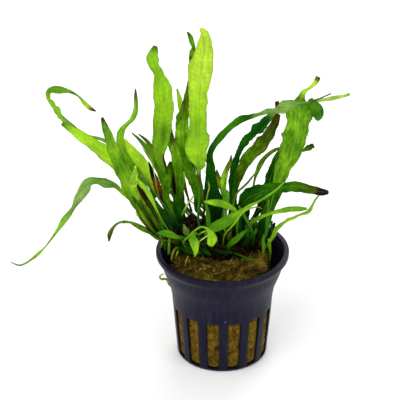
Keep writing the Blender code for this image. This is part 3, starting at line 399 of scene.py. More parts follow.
# How far a frond's margins stand out from its node's, as "millimetres place" pairs for the left
# and for the right margin, where the photo shows notches, lobes and tears
STRAIGHT = "0 0, 0 1"
EDGES = {
    "frond_tall_centre": (
        "0 0.35, 0.8 0.377, 0.3 0.405, 0.45 0.445, 0.15 0.48, -0.35 0.508, 0 0.55, 0.45 0.615,"
        " 0 0.66, 0 0.82, -0.85 0.86, -0.4 0.918, -0.65 0.953, -0.9 0.975, 0 1",
        "0 0.34, 1.6 0.36, 1.6 0.368, 0.4 0.38, -0.9 0.415, -1.4 0.437, -0.5 0.468, 0.3 0.495,"
        " 0.2 0.522, -0.8 0.53, -0.9 0.59, -1.4 0.64, -0.5 0.667, -1.0 0.688, -1.1 0.717,"
        " -0.3 0.765, 0 0.81, 0.4 0.87, 0.5 0.907, 1.0 0.955, 1.5 0.985, 0.6 1"),
    "frond_tall_left": (
        "0 0.66, -0.1 0.69, -0.5 0.73, 0 0.76, 0.1 0.785, -0.1 0.83, -0.8 0.862, -0.7 0.877,"
        " -0.1 0.898, 0.3 0.92, 0.35 0.94, 0.15 0.96, 0 1",
        "0 0.3, -0.8 0.41, -1.2 0.445, -0.6 0.48, -0.4 0.5, 0 0.53, 0.1 0.57, 0.35 0.61,"
        " 0.15 0.645, 0.3 0.68, 0.4 0.708, -0.1 0.737, 0 0.765, 0.55 0.793, 0.4 0.812, 0.2 0.84,"
        " 0.1 0.875, -0.4 0.903, 0.2 0.925, 0 0.96, 0.5 0.98, 0.3 1"),
    "frond_mottled_centre": (
        "0 0.52, -0.2 0.545, 0.4 0.575, 0.4 0.6, -0.5 0.622, -0.6 0.7, -0.9 0.75, -1.2 0.78,"
        " -1.0 0.82, -0.35 0.85, 0.35 0.875, 0.75 0.898, 0.7 0.91, -0.3 0.92, 0 0.95, 0 1",
        "0 0.25, -0.7 0.285, -1.2 0.31, -0.9 0.33, 0 0.37, 0 0.55, 0.3 0.6, 0.5 0.63, 0.5 0.68,"
        " 0.9 0.75, 1.2 0.78, 1.0 0.82, 0.5 0.85, 0.3 0.88, 0.1 0.92, 0.3 0.95, 0.6 0.975,"
        " 0.3 0.99, 0 1"),
    "frond_broad_right": (
        "0 0.3, -1.0 0.345, -1.3 0.385, -0.7 0.42, -0.3 0.45, 0.4 0.485, 0.5 0.52, 0.3 0.55,"
        " 0.3 0.62, 0.8 0.648, -0.5 0.656, -0.4 0.69, -0.6 0.725, -0.55 0.75, -0.3 0.79, 0 0.83",
        "0 0.36, -0.9 0.42, -1.0 0.45, -1.5 0.485, -1.6 0.52, -1.1 0.55, -0.8 0.58, -0.5 0.61,"
        " -0.4 0.64, -0.5 0.67, -0.4 0.73, -0.1 0.755, 0.7 0.785, 1.0 0.81, 0.8 0.83, 0.2 0.86,"
        " 0 0.9"),
    "frond_olive_right": (
        "0 0.58, -0.5 0.64, -1.0 0.69, -0.9 0.73, -0.2 0.76, -0.3 0.775, -1.0 0.81, -0.7 0.84,"
        " -0.1 0.88, 0.3 0.94, 0.5 0.97, 0.3 1",
        "0 0.28, -0.7 0.35, -0.9 0.4, -0.8 0.45, -1.0 0.51, -1.1 0.575, -1.3 0.62, -1.1 0.655,"
        " -0.6 0.7, -0.45 0.75, -0.2 0.8, -0.35 0.85, -0.4 0.9, -0.2 0.94, 0 1"),
    "frond_behind_right": (
        "0 0.66, -0.7 0.678, -0.9 0.705, 0.2 0.74, 0 0.8",
        "0 0.4, -0.8 0.5, -1.2 0.54, -0.9 0.58, -0.8 0.6, -1.0 0.65, -1.3 0.7, -1.3 0.728,"
        " -0.3 0.745, -0.3 0.78, -0.9 0.82, -0.2 0.86, 0.6 0.9, 0.6 0.93, 0 0.96"),
    "frond_arch_right": (
        "0 0.45, 0.5 0.5, 0 0.55, 0.3 0.62, -0.5 0.66, -0.1 0.7, -0.3 0.76, -1.1 0.79, -1.0 0.8,"
        " 0.1 0.815, 0.5 0.83, 0.1 0.86, -0.5 0.9, -0.2 0.93, 0 1",
        "0 0.4, 0.6 0.45, 0.5 0.5, 0.4 0.55, 0.5 0.62, 0.1 0.7, 0.1 0.8, 0.2 0.825, -1.1 0.838,"
        " -1.2 0.85, -0.5 0.9, -0.4 0.93, 0 1"),
    "frond_long_trailing_left": (
        "0 0.42, 0 0.48, -0.5 0.5, -0.9 0.525, -1.0 0.55, -0.3 0.6, -0.5 0.65, -0.7 0.69,"
        " -0.4 0.75, 0 0.8",
        "0 0.38, 0.6 0.42, 0.4 0.435, 0 0.455, 0.3 0.48, 1.1 0.5, 0.9 0.52, 0.5 0.55, 0 0.6"),
    "frond_hook_left": (
        "0 0.64, -0.3 0.66, 0.4 0.67, -0.2 0.68, 0.3 0.695, -0.3 0.71, 0 0.73, 0 0.79,"
        " -0.5 0.825, -0.5 0.85, 0 0.875",
        "0 0.55, -0.4 0.6, -0.9 0.64, -0.9 0.675, 0.1 0.69, 0.2 0.705, -0.6 0.712, 0 0.725,"
        " 0.3 0.738, -0.5 0.746, 0 0.76"),
    "frond_dark_tip_left": (
        "0 0.3, 0.5 0.36, 1.0 0.42, 1.4 0.47, 1.4 0.52, 0.8 0.57, 0 0.63, 0 1",
        STRAIGHT),
    "frond_curly_tip_left": (
        "0 0.25, 0.7 0.33, 0.9 0.4, 0.7 0.48, 0 0.55, 0 1",
        STRAIGHT),
    "frond_bright_left": (
        "0 0.6, 0.5 0.68, 1.2 0.76, 1.5 0.84, 1.5 0.9, 0.8 0.97, 0.3 1",
        STRAIGHT),
    "frond_back_left": (
        "0 0, -0.8 0.1, -0.8 0.16, 0.9 0.21, 1.1 0.27, 0.6 0.32, 0 0.42, 0 1",
        "0 0, 0.9 0.1, 0.9 0.16, -0.9 0.21, -1.0 0.27, -0.8 0.32, 0 0.42, 0 1"),
    "frond_back_centre": (
        STRAIGHT,
        "0 0.2, -0.5 0.27, -1.0 0.3, -1.6 0.325, -2.0 0.35, -2.2 0.375, -1.5 0.42, 0 0.5, 0 1"),
    "frond_brown_tip_right": (
        "0 0.2, -0.6 0.27, -1.1 0.3, -0.7 0.35, 0.3 0.385, 0.7 0.41, 0.5 0.45, 0.1 0.5, 0 1",
        STRAIGHT),
    "plantlet_right": (
        "0 0.4, 0.3 0.6, 0 0.7, 0.7 0.85, 0.3 0.92, 0.7 0.98, 0.5 1",
        "0 0.5, 0.4 0.7, 0.1 0.8, 0.6 0.9, 0.6 1"),
    "frond_arching_front": (
        "0 0.85, 0.1 0.93, 0.4 0.98, 0.3 1",
        "0 0.82, 0.5 0.9, 0.2 0.94, -0.4 0.975, 0 1"),
    "frond_green_core_left": (
        STRAIGHT,
        "0 0.36, -0.3 0.4, 0 0.45, -0.3 0.5, 0 0.56, 0 1"),
    "frond_low_left_drooping": (
        "0 0.4, 0.2 0.5, 0.1 0.6, 0 0.65, 0 1",
        "0 0.42, 0.7 0.48, 0.9 0.53, 0.6 0.6, 0.1 0.66, 0.5 0.72, 0.1 0.76, 0 1"),
}

# Young fronds and stems between the large ones: slot, look, and a route as the camera sees it,
# with each stop across, up and back from the pot's foot and the width there, in millimetres
# Their night and dark tones near the feet are painted shade
YOUNG = {
    "core_a": ("leaf_deep", "night 0, forest 0.25, deep 0.5, leaf 1",
               [(-19.5, 48, 6, 2.0), (-20.5, 52, 8, 4.4), (-21.8, 56, 9, 4.2), (-22.4, 61, 9, 1.0)]),
    "core_b": ("leaf_deep", "night 0, forest 0.25, deep 0.5, leaf 1",
               [(-16.8, 48, 9, 2.2), (-17.3, 54, 12.5, 4.8), (-17.6, 56.8, 13, 5.2),
                (-17.3, 60, 13.5, 4.4), (-18.5, 65, 14, 4.8), (-18.8, 69, 14.2, 3.2),
                (-19.6, 74, 14.4, 0.8)]),
    "core_c": ("leaf_deep", "night 0, forest 0.2, deep 0.45, leaf 1",
               [(-16.4, 50, 10, 2.2), (-17.4, 56, 14, 4.0), (-18, 63, 15.5, 4.2),
                (-18.4, 71, 16, 2.8), (-19, 77, 16, 0.8)]),
    "core_d": ("leaf_mottled", "night 0, black 0.4, brown 0.8, moss 1",
               [(-19.2, 63, 8.5, 0.9), (-19.5, 66, 8.6, 1.4), (-20.2, 71, 8.6, 1.3),
                (-20.8, 75, 8.6, 0.5)]),
    "core_e": ("leaf_mottled", "night 0, dark 0.4, moss 0.8, brown 1",
               [(-22, 48, 4, 1.8), (-25, 53, 8, 4.0), (-28, 58, 9, 4.4), (-32.5, 64.5, 9, 0.8)]),
    "core_f": ("leaf_mottled", "dark 0, moss 0.4, olive 1",
               [(-23, 46.5, 0, 1.6), (-27, 50, 0.5, 3.2), (-31, 54.5, 0.5, 3.6),
                (-34.5, 60, 0, 0.8)]),
    "core_g": ("leaf_mid", "dark 0, deep 0.5, moss 0.65, brown 1",
               [(-21.6, 50, 3, 1.4), (-24.4, 54.8, 3.5, 2.6), (-26.6, 57.6, 3.5, 2.6),
                (-28.0, 60.3, 3.5, 1.8), (-27.5, 63.0, 3.3, 3.4), (-28.8, 67, 3.3, 2.0),
                (-30.4, 71, 3.3, 0.6)]),
    # The heart fronds are dark leaves in a dark stretch between the large fronds: partly their stems,
    # partly painted shade
    "heart_a": ("leaf_deep", "night 0, night 0.3, dark 1",
                [(7.2, 44, 5, 2.0), (7.8, 50, 9, 5.4), (8.6, 56, 11, 5.8), (9.4, 63.5, 11.5, 1.2)]),
    "heart_b": ("leaf_deep", "night 0, dark 0.5, deep 1",
                [(3.6, 46, 6, 1.8), (4.2, 51, 8.5, 3.8), (4.6, 57, 9.5, 3.6), (4.9, 64, 10, 0.8)]),
    "heart_c": ("leaf_deep", "night 0, dark 0.6, deep 1",
                [(11.4, 43, 6, 2.0), (12.0, 46.5, 8.6, 3.4), (12.4, 50, 9.8, 2.6),
                 (12.8, 53, 10.4, 0.8)]),
    "heart_d": ("leaf_deep", "night 0, dark 0.5, deep 0.8, moss 1",
                [(15.4, 43, 6, 1.8), (16.4, 48, 8, 3.6), (17, 53, 9, 3.4), (18.4, 59, 9.5, 0.8)]),
    "lying_dark_left": ("leaf_mottled", "night 0, dark 0.5, forest 1",
                        [(-17.8, 41, -6.5, 1.6), (-14.6, 40.2, -8.5, 3.2), (-11.4, 39.2, -10, 3.0),
                         (-8.4, 38.2, -10.6, 0.8)]),
    "lying_dark_centre": ("leaf_mottled", "night 0, night 0.6, dark 1",
                          [(-4.6, 40.4, -7, 1.0), (-1.5, 39.2, -8.6, 1.7), (1.6, 38.6, -9.4, 1.5),
                           (4.4, 38.8, -9.6, 0.6)]),
    "lying_moss": ("leaf_mottled", "night 0, dark 0.5, forest 1",
                   [(-9, 40.6, -8.6, 0.8), (-7.4, 39.6, -9.8, 2.0), (-5.8, 38.4, -10.4, 1.6),
                    (-4.6, 37.6, -10.6, 0.6)]),
    "lying_deep_right": ("leaf_deep", "night 0, dark 0.6, deep 1",
                         [(8.4, 41.4, -6, 1.2), (9.8, 43.4, -6.5, 1.8), (12.2, 45.6, -7, 1.6),
                          (14.4, 48, -7.2, 0.6)]),
    "stem_left_a": ("leaf_mid", "moss 0, leaf 0.4, leaf 1",
                    [(-21.5, 38.6, -8, 1.2), (-21.5, 41.5, -7, 1.1), (-21.3, 45.4, -6, 0.9)]),
    "fill_left": ("leaf_mid", "dark 0, deep 0.2, leaf 0.5, fresh 0.85, leaf 1",
                  [(-22.6, 62, 16, 1.4), (-24.2, 69, 19, 3.2), (-25.8, 75.5, 21.5, 4.0),
                   (-27.0, 80.5, 22, 2.6), (-28.1, 84.5, 22, 0.8)]),
    "brown_hook": ("leaf_dying", "moss 0, moss 0.4, brown 0.7, black 1",
                   [(-22.4, 71.6, 6.4, 0.7), (-23.0, 74, 6.2, 1.0), (-23.7, 76.6, 6, 0.8),
                    (-23.9, 78.6, 6, 0.5)]),
    "split_centre": ("leaf_mottled", "leaf 0, olive 0.5, brown 0.9, black 1",
                     [(0.1, 63.5, -8.2, 1.2), (-0.7, 66.8, -8.6, 2.2), (-1.6, 69.6, -9, 1.8),
                      (-2.1, 72.3, -9.2, 0.5)]),
    "curl_right": ("leaf_mid", "deep 0, leaf 0.4, deep 0.7, leaf 1",
                   [(36.2, 100.4, 11.5, 2.6), (37.6, 98.4, 12, 4.2), (38.4, 96, 12.4, 4.6),
                    (38.9, 93.8, 12.8, 3.2), (38.5, 92.6, 13, 0.8)]),
    "spray_a": ("leaf_mottled", "night 0, moss 0.3, olive 0.6, moss 0.8, olive 1",
                [(-24.6, 45.5, -6.5, 1.2), (-28.6, 50, -8.6, 1.8), (-32, 54.4, -9.6, 1.8),
                 (-34.8, 58.8, -10, 1.4), (-36.4, 61.6, -10, 0.6)]),
    "spray_b": ("leaf_mottled", "dark 0, brown 0.4, olive 0.7, bright 1",
                [(-26.4, 45.2, -7, 0.7), (-29.8, 48.4, -8, 0.8), (-32.8, 51.8, -8.6, 0.8),
                 (-35, 55.2, -9, 0.7)]),
    "spray_c": ("leaf_mottled", "moss 0, olive 0.5, leaf 1",
                [(-25.2, 44.5, -7.5, 0.7), (-29.3, 49.4, -11.5, 1.3), (-32.9, 54.7, -14, 1.4),
                 (-35, 58.8, -15, 0.6)]),
    "spray_d": ("leaf_deep", "night 0, night 0.5, moss 1",
                [(-24.8, 45.4, -8, 0.7), (-28.1, 50.2, -12, 0.9), (-31.3, 55.5, -14.5, 0.8),
                 (-33.8, 60, -15.5, 0.4)]),
    "spray_e": ("leaf_mottled", "night 0, brown 0.4, moss 0.7, brown 1",
                [(-24.8, 43.4, -5, 0.9), (-27.6, 46.2, -6, 1.1), (-30.6, 49.4, -6.6, 1.0),
                 (-33.6, 53, -7, 0.6)]),
    "spray_f": ("leaf_mottled", "dark 0, olive 0.5, leaf 1",
                [(-24, 45.4, -8, 0.9), (-26.8, 51, -12, 1.2), (-29.7, 55.9, -14.5, 1.1),
                 (-33, 61.2, -16, 0.4)]),
    "spray_g": ("leaf_mottled", "night 0, brown 0.5, moss 1",
                [(-23.2, 44.9, -7, 0.7), (-25.6, 51, -11.5, 0.9), (-28.1, 55.9, -14, 0.8),
                 (-30.5, 60, -15, 0.4)]),
    "spray_h": ("leaf_mid", "night 0, deep 0.5, leaf 1",
                [(-22.4, 44.5, -7, 0.9), (-24.4, 50.2, -11, 1.2), (-26.4, 55.1, -13, 1.1),
                 (-28.5, 58.8, -14, 0.4)]),
    "foot_right_a": ("leaf_mid", "moss 0, leaf 0.5, leaf 1",
                     [(16.7, 38.4, -5.6, 1.0), (17.0, 40.6, -4.8, 1.5), (16.8, 43.2, -3.6, 1.6),
                      (17.2, 46, -3, 0.8)]),
    "foot_right_b": ("leaf_fresh", "moss 0, leaf 0.4, fresh 1",
                     [(19.5, 35, -1.2, 0.5), (19.7, 38, -1.4, 0.9), (19.4, 41, -2.4, 1.4),
                      (19.2, 44, -3.2, 1.2)]),
    "lime_short": ("leaf_pale", "olive 0, lime 0.5, lime 1",
                   [(-18.6, 37.2, -6.4, 0.5), (-18, 38.8, -6.4, 0.8), (-17.2, 40.6, -6.2, 0.4)]),
    "lime_thread": ("leaf_pale", "olive 0, lime 0.6, lime 1",
                    [(-14.9, 33.5, -14.8, 0.3), (-14.6, 35.2, -12.6, 0.35),
                     (-13.7, 37.2, -9.8, 0.3)]),
    "hanging_stalk": ("leaf_fresh", "leaf 0, fresh 0.5, lime 1",
                      [(-9.3, 46.1, -11.8, 0.5), (-7.6, 47.0, -13.2, 0.7), (-5.6, 47.7, -14.6, 0.5)]),
    "pale_short": ("leaf_pale", "leaf 0, pale 0.5, pale 1",
                   [(-9.0, 43.2, -17.6, 0.4), (-7.2, 44.6, -18.8, 0.5), (-5.4, 45.8, -19.4, 0.3)]),
    "rusty_root": ("leaf_dying", "brown 0, rust 0.5, tan 1",
                   [(4.6, 44.4, -3, 0.5), (6.4, 45.6, -3.2, 0.9), (8.2, 46.4, -3, 0.8),
                    (9.8, 47.6, -3, 0.4)]),
    "tan_bit": ("leaf_dying", "tan 0, ochre 0.6, tan 1",
                [(2.8, 44.6, -5, 0.5), (3.2, 45.8, -5, 1.3), (3.7, 47, -5, 0.6)]),
    "tan_bit_right": ("leaf_dying", "brown 0, ochre 0.6, tan 1",
                      [(13.3, 45.6, -3.4, 0.5), (13.6, 46.9, -3.4, 1.2), (13.8, 48.2, -3.4, 0.5)]),
    "rim_strand": ("leaf_mid", "dark 0, leaf 0.4, fresh 1",
                   [(-24.6, 41.4, -6.6, 0.8), (-24.2, 43.2, -6.6, 0.8), (-24.4, 45.2, -6.6, 0.6)]),
    "stem_left_b": ("leaf_mottled", "moss 0, olive 0.5, moss 1",
                    [(-23, 40.6, -5, 1.0), (-23.2, 42.6, -4.6, 1.0), (-23.6, 45, -4, 0.8)]),
    "stem_right_a": ("leaf_deep", "night 0, dark 0.5, deep 1",
                     [(10.2, 42, -6.5, 0.9), (9.8, 45.4, -6.5, 0.9), (9.9, 49.6, -6, 0.8)]),
    "stem_right_b": ("leaf_mid", "dark 0, deep 0.4, leaf 1",
                     [(17.4, 43.5, -3.5, 1.0), (18, 49, -2, 1.2), (18.6, 55, -0.5, 1.2),
                      (19, 60, 0.5, 0.8)]),
    "stem_right_c": ("leaf_deep", "night 0, dark 0.6, deep 1",
                     [(19.6, 42.4, -1, 1.0), (19.9, 47, 0, 1.1), (20.4, 51.5, 0.5, 0.8)]),
    "pale_stray": ("leaf_pale", "leaf 0, pale 0.5, pale 1",
                   [(-16, 54.5, 3, 0.8), (-15, 56.5, 3, 0.8), (-13.3, 59.3, 3, 0.8),
                    (-11.2, 62, 3, 0.5)]),
    "dark_stray": ("leaf_mottled", "black 0, brown 0.4, moss 0.7, pale 1",
                   [(-12.5, 56, 5, 0.9), (-13.3, 58.5, 5, 0.9), (-14, 62, 5, 0.8),
                    (-14.7, 65, 5, 0.8), (-15.5, 71.5, 5, 0.5)]),
    # Painted shadow: a thin black stem along the dark shaded left edge of a frond
    "dead_stem": ("leaf_dying", "black 0, brown 0.6, black 1",
                  [(-8, 50, 3, 0.9), (-7.2, 56, 3.2, 0.9), (-7, 62, 3.4, 0.9), (-6.5, 67, 3.5, 0.9),
                   (-6.1, 72, 3.6, 0.5)]),
}


def srgb(*levels):
    """A screen colour from 0 to 255 as linear red, green and blue."""
    shares = [level / 255 for level in levels]
    return [s / 12.92 if s <= 0.04045 else ((s + 0.055) / 1.055) ** 2.4 for s in shares]


class FernPot(bpy.types.PropertyGroup):
    """The pot's finish."""

    colour: FloatVectorProperty(
        name="Plastic colour", description="Colour of the moulded plastic", subtype="COLOR",
        size=3, min=0.0, max=1.0, default=(0.0052, 0.0045, 0.0158))
    roughness: FloatProperty(
        name="Roughness", description="How dull the plastic is", subtype="FACTOR",
        min=0.0, max=1.0, default=0.42)
    bevel: FloatProperty(
        name="Edge radius", description="Radius of the moulded edges", unit="LENGTH",
        subtype="DISTANCE", min=0.0, default=0.14 * MM)


class FernWool(bpy.types.PropertyGroup):
    """The wool plug's finish."""

    colour: FloatVectorProperty(
        name="Wool colour", description="Colour of the damp wool", subtype="COLOR",
        size=3, min=0.0, max=1.0, default=srgb(108, 84, 22))
    top_colour: FloatVectorProperty(
        name="Top colour", description="Colour of the wool's open top", subtype="COLOR",
        size=3, min=0.0, max=1.0, default=srgb(76, 64, 14))
    fibres: IntProperty(
        name="Fibres", description="Loose fibres on the plug", min=0, max=6500, default=5600)


class FernLeaves(bpy.types.PropertyGroup):
    """The fronds' build."""

    station: FloatProperty(
        name="Step along a frond", description="Distance between a frond's cross rows",
        unit="LENGTH", subtype="DISTANCE", min=0.2 * MM, default=0.75 * MM)
    lamina: FloatProperty(
        name="Blade thickness", description="Thickness of a blade beside its midrib",
        unit="LENGTH", subtype="DISTANCE", min=0.1 * MM, default=0.34 * MM)
    roughness: FloatProperty(
        name="Roughness", description="How dull the fronds are", subtype="FACTOR",
        min=0.0, max=1.0, default=0.46)


class FernRoots(bpy.types.PropertyGroup):
    """The rhizomes and roots."""

    colour: FloatVectorProperty(
        name="Bark colour", description="Colour of the creeping stems", subtype="COLOR",
        size=3, min=0.0, max=1.0, default=srgb(26, 17, 9))
    hairs: IntProperty(
        name="Root hairs", description="Dark hairs round the creeping stems",
        min=0, max=4000, default=1500)


class FernStage(bpy.types.PropertyGroup):
    """The floor and the light."""

    floor: FloatVectorProperty(
        name="Floor colour", description="Colour of the floor", subtype="COLOR",
        size=3, min=0.0, max=1.0, default=(0.92, 0.92, 0.92))
    sky: FloatProperty(
        name="Sky strength", description="Strength of the even light", min=0.0, default=0.66)
    key: FloatProperty(
        name="Key power", description="Power of the main soft light, in watts", min=0.0,
        default=5.5)


def start_fresh():
    """Leave nothing selected, so that an operator acts on its own new primitive alone."""
    if bpy.context.object and bpy.context.object.mode != "OBJECT":
        bpy.ops.object.mode_set(mode="OBJECT")
    bpy.ops.object.select_all(action="DESELECT")


def new_grid(name, columns, rows):
    """A flat grid from -1 to 1, ready to be shaped, with its points' places."""
    start_fresh()
    bpy.ops.mesh.primitive_grid_add(x_subdivisions=columns, y_subdivisions=rows, size=2.0)
    item = bpy.context.object
    item.name = item.data.name = name
    flat = np.empty(len(item.data.vertices) * 3)
    item.data.vertices.foreach_get("co", flat)
    return item, flat.reshape(-1, 3)


def place_points(item, points):
    """Move every point of the mesh."""
    item.data.vertices.foreach_set("co", np.asarray(points, dtype=np.float32).ravel())
    item.data.update()


def finish_mesh(item, angle, merge=None):
    """Merge doubles where asked, turn the faces outwards and smooth them up to this angle."""
    start_fresh()
    item.select_set(True)
    bpy.context.view_layer.objects.active = item
    bpy.ops.object.mode_set(mode="EDIT")
    bpy.ops.mesh.select_all(action="SELECT")
    if merge:
        bpy.ops.mesh.remove_doubles(threshold=merge)
    bpy.ops.mesh.normals_make_consistent(inside=False)
    bpy.ops.object.mode_set(mode="OBJECT")
    bpy.ops.object.shade_smooth_by_angle(angle=math.radians(angle))


def apply_modifier(item, kind, **settings):
    """Add a modifier, set it and apply it."""
    start_fresh()
    item.select_set(True)
    bpy.context.view_layer.objects.active = item
    modifier = item.modifiers.new(kind.title(), kind)
    for name, value in settings.items():
        setattr(modifier, name, value)
    bpy.ops.object.modifier_apply(modifier=modifier.name)


def settle(item, slot, material, *nodes):
    """Give a finished piece its material and body, and hide the nodes that it stands for. The slot is not
    used.
    """
    item.data.materials.clear()
    item.data.materials.append(material)
    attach(item, "root")
    if nodes:
        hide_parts(*nodes)
    return item


def held(value):
    """The value, held between 0 and 1."""
    return max(0.0, min(1.0, value))


def lumps(place, scale, octaves=4):
    """Rough noise round 0, each octave twice as fine as the last."""
    return noise.fractal(place * scale, 1.0, 2.0, octaves)


class Shade:
    """Builds one Principled material node by node."""

    def __init__(self, name):
        self.material = bpy.data.materials.new(name)
        self.material.use_nodes = True
        self.tree = self.material.node_tree
        self.shader = self.tree.nodes["Principled BSDF"]

    def add(self, kind, **settings):
        """Add a node with its settings, and with a value or a link for each of its inputs."""
        node = self.tree.nodes.new(kind)
        inputs = settings.pop("inputs", {})
        for name, value in settings.items():
            setattr(node, name, value)
        for name, value in inputs.items():
            self.feed(node.inputs[name], value)
        return node

    def feed(self, socket, value):
        """Link another node's output to a socket, or set the socket's value."""
        if isinstance(value, bpy.types.NodeSocket):
            self.tree.links.new(value, socket)
        else:
            socket.default_value = value

    def set(self, **values):
        """Set or link the shader's own sockets."""
        for name, value in values.items():
            self.feed(self.shader.inputs[name.replace("_", " ").title().replace("Ior", "IOR")], value)

    def places(self):
        """Object coordinates."""
        return self.add("ShaderNodeTexCoord").outputs["Object"]

    def noise(self, scale, detail=4.0, rough=0.55, vector=None):
        """Noise from 0 to 1."""
        node = self.add("ShaderNodeTexNoise", inputs={
            "Vector": vector or self.places(), "Scale": scale, "Detail": detail,
            "Roughness": rough})
        return node.outputs["Fac"]

    def three(self, name):
        """The three numbers that a blade's points hold under this name."""
        vector = self.add("ShaderNodeAttribute", attribute_name=name).outputs["Vector"]
        parts = self.add("ShaderNodeSeparateXYZ", inputs={"Vector": vector})
        return [parts.outputs[i] for i in range(3)]

    def stretched(self, scale):
        """Object coordinates scaled by its three numbers."""
        node = self.add("ShaderNodeMapping", inputs={"Vector": self.places(), "Scale": scale})
        return node.outputs["Vector"]

    def ramp(self, value, *stops):
        """Map a value to the colours or levels of the stops."""
        node = self.add("ShaderNodeValToRGB", inputs={"Fac": value})
        band = node.color_ramp
        while len(band.elements) < len(stops):
            band.elements.new(0.5)
        for element, (place, colour) in zip(band.elements, stops):
            element.position = place
            if not hasattr(colour, "__len__"):
                colour = (colour,) * 3
            element.color = (*colour, 1.0)
        return node.outputs["Color"]

    def rise(self, value, low, high):
        """From 0 up to the low value to 1 from the high one on."""
        return self.ramp(value, (low, 0.0), (high, 1.0))

    def fall(self, value, low, high):
        """From 1 up to the low value to 0 from the high one on."""
        return self.ramp(value, (low, 1.0), (high, 0.0))

    def tint(self, shade, amount, strength, colour, blend="MIX"):
        """Mix a colour into the shade, by an amount times a strength."""
        return self.mix(self.maths("MULTIPLY", amount, strength), shade, colour, blend)

    def mix(self, share, first, second, blend="MIX"):
        """Mix two colours, or multiply the first by the second, as far as the share says."""
        node = self.add("ShaderNodeMix", data_type="RGBA", blend_type=blend)
        node.clamp_factor = True
        for socket, value in zip((node.inputs[0], node.inputs[6], node.inputs[7]),
                                 (share, first, second)):
            if not isinstance(value, (bpy.types.NodeSocket, float)):
                value = (*value, 1.0)
            self.feed(socket, value)
        return node.outputs[2]

    def maths(self, action, *values):
        """One step of arithmetic."""
        node = self.add("ShaderNodeMath", operation=action)
        for socket, value in zip(node.inputs, values):
            self.feed(socket, value)
        return node.outputs["Value"]

    def bump(self, height, distance, strength=1.0, under=None):
        """Raise the surface by a height field, as far as the distance says in metres."""
        node = self.add("ShaderNodeBump", inputs={
            "Height": height, "Distance": distance, "Strength": strength})
        if under:
            self.feed(node.inputs["Normal"], under)
        return node.outputs["Normal"]


def plastic_material(name, colour, settings):
    """Dark moulded plastic with a faint mottle, scuffs and a soft gloss."""
    made = Shade(name)
    cloud = made.noise(60.0, 3.0)
    scuff = made.noise(900.0, 6.0, 0.7)
    flow = made.noise(1.0, 4.0, 0.6, made.stretched((520.0, 520.0, 45.0)))
    lines = made.noise(1.0, 5.0, 0.6, made.stretched((260.0, 260.0, 1400.0)))
    shade = made.mix(made.rise(cloud, 0.3, 0.7), [c * 0.82 for c in colour],
                     [min(1.0, c * 1.2) for c in colour])
    shade = made.tint(shade, made.rise(scuff, 0.62, 0.8), 0.1, srgb(110, 106, 122))
    shade = made.tint(shade, made.rise(flow, 0.5, 0.75), 0.09, srgb(96, 94, 116))
    rough = made.maths("MULTIPLY_ADD", scuff, 0.22, settings.roughness - 0.1)
    normal = made.bump(lines, 0.00003, 0.35)
    normal = made.bump(flow, 0.00003, 0.3, normal)
    normal = made.bump(scuff, 0.00002, 0.4, normal)
    made.set(base_color=shade, roughness=rough, specular_ior_level=0.1, normal=normal)
    return made.material


def wool_material(settings):
    """Damp wool: golden inside the slots, olive and darker on the open top, with painted shade between its
    tufts.
    """
    made = Shade("mineral_wool")
    golden = tuple(settings.colour)
    olive = tuple(settings.top_colour)
    places = made.places()
    parts = made.add("ShaderNodeSeparateXYZ", inputs={"Vector": places})
    tuft = made.noise(520.0, 8.0, 0.72)
    patch = made.noise(95.0, 4.0, 0.6)
    lump = made.noise(230.0, 4.0, 0.6)
    streak = made.noise(1.0, 6.0, 0.65, made.stretched((800.0, 800.0, 210.0)))
    # From 31 mm to 40 mm up the golden wool turns olive
    high = made.rise(made.maths("MULTIPLY", parts.outputs["Z"], 20.0), 0.62, 0.8)
    # Painted shade: the wool is darkest where the tuft fuzz is low and lighter on its tops
    depth = made.mix(made.rise(tuft, 0.32, 0.66), (0.16, 0.15, 0.14), (1.75, 1.7, 1.5))
    shade = made.mix(1.0, made.mix(high, golden, olive), depth, "MULTIPLY")
    shade = made.tint(shade, made.rise(patch, 0.45, 0.7), 0.45, srgb(72, 58, 8))
    light = made.maths("MULTIPLY", made.rise(lump, 0.5, 0.64), high)
    shade = made.tint(shade, light, 0.6, srgb(124, 100, 38))
    shade = made.tint(shade, made.fall(lump, 0.36, 0.47), 0.7, srgb(26, 20, 5))
    # The light lobe fades out from 3.5 mm to 6.2 mm from its middle
    near = made.add("ShaderNodeVectorMath", operation="DISTANCE", inputs={"Vector": places})
    near.inputs[1].default_value = WOOL_LOBE
    lobe = made.fall(made.maths("MULTIPLY", near.outputs["Value"], 100.0), 0.35, 0.62)
    lobe = made.maths("MULTIPLY", lobe, made.ramp(tuft, (0.35, 0.2), (0.6, 1.0)))
    shade = made.tint(shade, lobe, 0.75, srgb(150, 120, 44))
    shade = made.tint(shade, made.rise(streak, 0.5, 0.64), 0.6, srgb(46, 28, 6))
    normal = made.bump(tuft, 0.0006, 0.9, made.bump(streak, 0.0007, 0.8))
    made.set(base_color=shade, roughness=0.95, specular_ior_level=0.05, normal=normal)
    return made.material


def fibre_material(name, *stops):
    """Loose fibres, each of its own tone."""
    made = Shade(name)
    tone = made.add("ShaderNodeAttribute", attribute_name="tone").outputs["Fac"]
    speck = made.maths("MULTIPLY_ADD", made.noise(1300.0, 3.0), 0.3, tone)
    made.set(base_color=made.ramp(speck, *stops), roughness=0.85, specular_ior_level=0.08,
             normal=made.bump(made.noise(2400.0), 0.0001, 0.5))
    return made.material


def bark_material(settings):
    """Dark brown creeping stem with scales and pale scars."""
    made = Shade("rhizome_bark")
    colour = tuple(settings.colour)
    grain = made.noise(700.0, 8.0, 0.7)
    cells = made.add("ShaderNodeTexVoronoi", inputs={
        "Vector": made.places(), "Scale": 620.0}).outputs["Distance"]
    shade = made.mix(made.rise(grain, 0.35, 0.7), [c * 0.3 for c in colour],
                     [min(1.0, c * 1.9) for c in colour])
    shade = made.tint(shade, made.fall(cells, 0.0, 0.35), 0.4, srgb(74, 44, 18))
    normal = made.bump(cells, 0.0003, 0.7, made.bump(grain, 0.0004, 0.8))
    made.set(base_color=shade, roughness=0.9, specular_ior_level=0.06, normal=normal)
    return made.material


